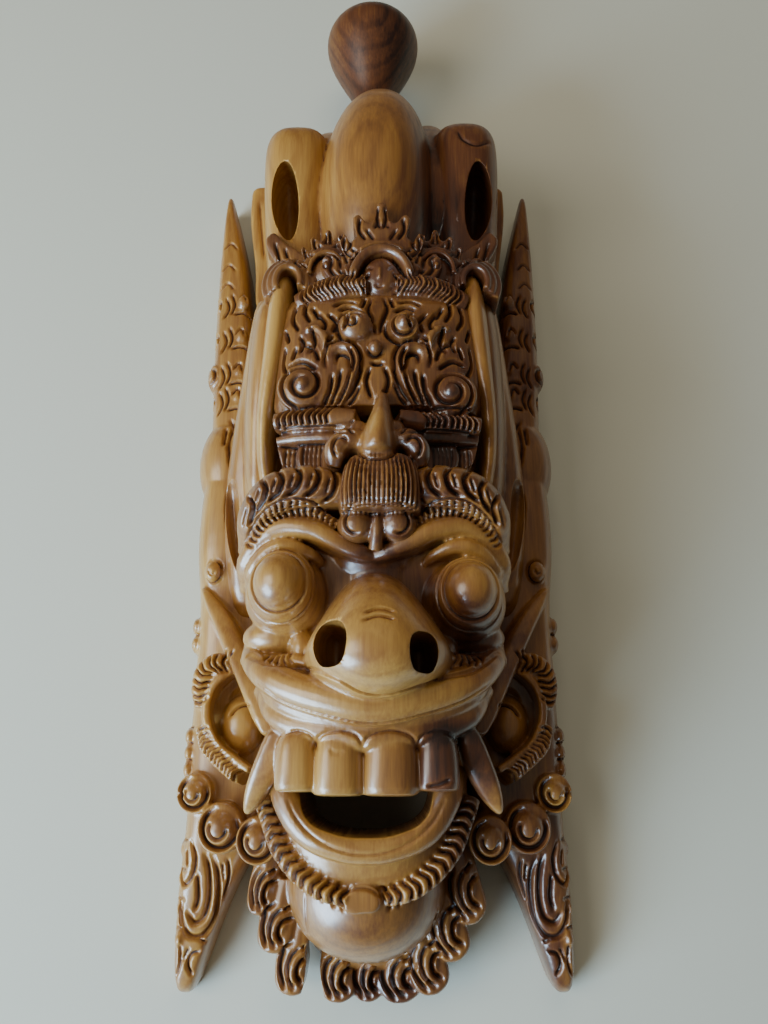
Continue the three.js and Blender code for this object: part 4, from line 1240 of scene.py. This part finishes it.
class Shade:
    """A shader value. Sums and products of shades add Math nodes to the material."""

    def __init__(self, tree, socket=None):
        self.tree = tree
        self.socket = socket

    def node(self, kind, settings, inputs, output=0):
        """Adds a node, sets it up, gives its sockets values or links, and returns one output."""
        made = self.tree.nodes.new(kind)
        stops = settings.pop("stops", None)
        for name, value in settings.items():
            setattr(made, name, value)
        if stops:
            ramp = made.color_ramp.elements
            while len(ramp) < len(stops):
                ramp.new(0.5)
            for element, (place, color) in zip(ramp, stops):
                element.position = place
                element.color = (*color, 1)
        for name, value in inputs.items():
            self.feed(made.inputs[name], value)
        return Shade(self.tree, made.outputs[output])

    def feed(self, target, value):
        if isinstance(value, Shade):
            self.tree.links.new(value.socket, target)
        else:
            target.default_value = value

    def math(self, operation, *values):
        return self.node("ShaderNodeMath", {"operation": operation}, dict(enumerate(values)))

    def __add__(self, other):
        return self.math("ADD", self, other)

    __radd__ = __add__

    def __mul__(self, other):
        return self.math("MULTIPLY", self, other)

    __rmul__ = __mul__

    def __sub__(self, other):
        return self.math("SUBTRACT", self, other)

    def __rsub__(self, other):
        return self.math("SUBTRACT", other, self)

    def clipped(self, low, high):
        """Nothing below low, all above high, and a soft rise between them."""
        settings = {"interpolation_type": "SMOOTHSTEP"}
        return self.node("ShaderNodeMapRange", settings, {"Value": self, "From Min": low, "From Max": high})


HONEY = (0.53, 0.28, 0.062)
AMBER = (0.31, 0.13, 0.026)
CHESTNUT = (0.12, 0.036, 0.011)
SOOT = (0.022, 0.006, 0.003)
RINGS_AT = (-0.012, 0, 0.09)
RING_TURNS = 1500  # radians to a metre
BUDS_RISE = (0.062, 0.08)  # up the crown from the one to the other, the varnish gets thin


def varnished(name, darker=0.05, gloss=1):
    """Wood with long grain and growth rings under varnish, with painted shade in its grooves and ridges
    painted lighter, partly as wear and partly as painted highlight.
    """
    material = bpy.data.materials.new(name)
    material.use_nodes = True
    tree = material.node_tree
    shader = tree.nodes["Principled BSDF"]
    start = Shade(tree)
    place = start.node("ShaderNodeTexCoord", {}, {}, "Object")
    dark = start.node("ShaderNodeAttribute", {"attribute_name": "dark"}, {}, "Fac")
    hollow = start.node("ShaderNodeAttribute", {"attribute_name": "hollow"}, {}, "Fac")

    def streaks(across, lengthwise, detail):
        """Noise drawn out along the grain; both scales are spots to a metre."""
        scale = {"Vector": place, "Scale": (across, lengthwise, across)}
        drawn = start.node("ShaderNodeMapping", {}, scale)
        values = {"Vector": drawn, "Scale": 1, "Detail": detail, "Roughness": 0.55}
        return start.node("ShaderNodeTexNoise", {}, values)

    fine = streaks(1400, 55, 3)
    pores = streaks(420, 16, 2)
    cloud = streaks(38, 16, 2)
    # Growth rings lie round an axis along the log, off its middle and low in it
    axis = {"Vector": place, "Location": RINGS_AT, "Scale": (1, 0.05, 1)}
    lifted = start.node("ShaderNodeMapping", {}, axis)
    reach = start.node("ShaderNodeVectorMath", {"operation": "LENGTH"}, {0: lifted}, "Value")
    ring = start.math("SINE", reach * RING_TURNS + cloud * 15).clipped(0.1, 1)
    # Painted shade: the colour darkens with a groove's depth, standing in for the shade that falls into it.
    # The ridges are painted lighter, partly as wear and partly as painted highlight.
    groove = hollow.clipped(0.06, 0.75)
    ridge = (0 - hollow).clipped(0.05, 0.6)
    tone = dark + darker + (cloud - 0.5) * 0.55 + (fine - 0.5) * 0.34 + (pores - 0.5) * 0.3 + ring * 0.09
    tone = tone + groove * 0.78 - ridge * 0.2
    stops = [(0, HONEY), (0.36, AMBER), (0.72, CHESTNUT), (1, SOOT)]
    color = start.node("ShaderNodeValToRGB", {"stops": stops}, {"Fac": tone})
    start.feed(shader.inputs["Base Color"], color)
    start.feed(shader.inputs["Roughness"], 0.42 + (pores - 0.5) * 0.2 + groove * 0.2)
    grain = start.node("ShaderNodeBump", {}, {"Strength": 0.12, "Distance": 0.0004, "Height": fine + pores})
    start.feed(shader.inputs["Normal"], grain)
    # Varnish is thin in the cuts and worn off their ridges, and thinner up the tall buds
    above = start.node("ShaderNodeSeparateXYZ", {}, {"Vector": place}, "Y")
    worn = start.math("ABSOLUTE", hollow).clipped(0.02, 0.4)
    thin = 1 - above.clipped(*BUDS_RISE) * 0.7
    start.feed(shader.inputs["Coat Weight"], gloss * thin * (1 - worn * 0.72))
    start.feed(shader.inputs["Coat Roughness"], 0.25)
    start.feed(shader.inputs["Coat IOR"], 1.65)
    return material


def plain(name, color, roughness):
    """One even color."""
    made = bpy.data.materials.new(name)
    made.use_nodes = True
    shader = made.node_tree.nodes["Principled BSDF"]
    shader.inputs["Base Color"].default_value = (*color, 1)
    shader.inputs["Roughness"].default_value = roughness
    return made


mask_wood = varnished("varnished_wood")
for piece in pieces:
    piece.data.materials.clear()
    piece.data.materials.append(mask_wood)
knob.data.materials.clear()
knob.data.materials.append(varnished("dark_varnished_wood", darker=0.1, gloss=0.2))


# ---- Floor, light and camera ----


# Places and sizes in metres, the tilt in degrees and the lens in millimetres
FLOOR_SIZE = 4
FLOOR_HEIGHT = -0.0005
FLOOR_COLOR = (0.65, 0.63, 0.52)
DAYLIGHT = (1, 0.97, 0.88)
BLUE_DAYLIGHT = (0.52, 0.76, 1)
LAMPLIGHT = (1, 0.93, 0.76)
ROOM_COLOR = (0.9, 0.86, 0.72, 1)
CAMERA_AT = (0.0035, -0.1385, 0.342)
CAMERA_TILT = 17.2
CAMERA_LENS = 28.8


def floor():
    """A pale floor just under the mask's back."""
    bpy.ops.mesh.primitive_plane_add(size=FLOOR_SIZE, location=(0, 0, FLOOR_HEIGHT))
    ground = bpy.context.object
    ground.name = "floor"
    ground.data.materials.append(plain("pale_floor", FLOOR_COLOR, 0.9))


def soft_light(name, at, width, height, power, color):
    """An area light that faces the mask's middle."""
    bpy.ops.object.light_add(type="AREA", location=at)
    light = bpy.context.object
    light.name = name
    light.data.shape = "RECTANGLE"
    light.data.size = width
    light.data.size_y = height
    light.data.energy = power
    light.data.color = color
    light.rotation_euler = (-Vector(at)).to_track_quat("-Z", "Y").to_euler()
    return light


floor()
soft_light("window", (-0.7, -0.1, 0.75), 0.5, 0.6, 4.4, DAYLIGHT)
soft_light("low_window", (-0.8, -0.66, 0.42), 0.62, 0.56, 25, BLUE_DAYLIGHT)
soft_light("fill", (0.1, 0.8, 1.0), 0.9, 0.9, 4, LAMPLIGHT).visible_glossy = False
world = bpy.data.worlds.new("room")
world.use_nodes = True
background = world.node_tree.nodes["Background"].inputs
background["Color"].default_value = ROOM_COLOR
background["Strength"].default_value = 0.13
bpy.context.scene.world = world

bpy.ops.object.camera_add(location=CAMERA_AT, rotation=(math.radians(CAMERA_TILT), 0, 0))
camera = bpy.context.object
camera.name = "camera"
camera.data.lens = CAMERA_LENS
bpy.context.scene.camera = camera
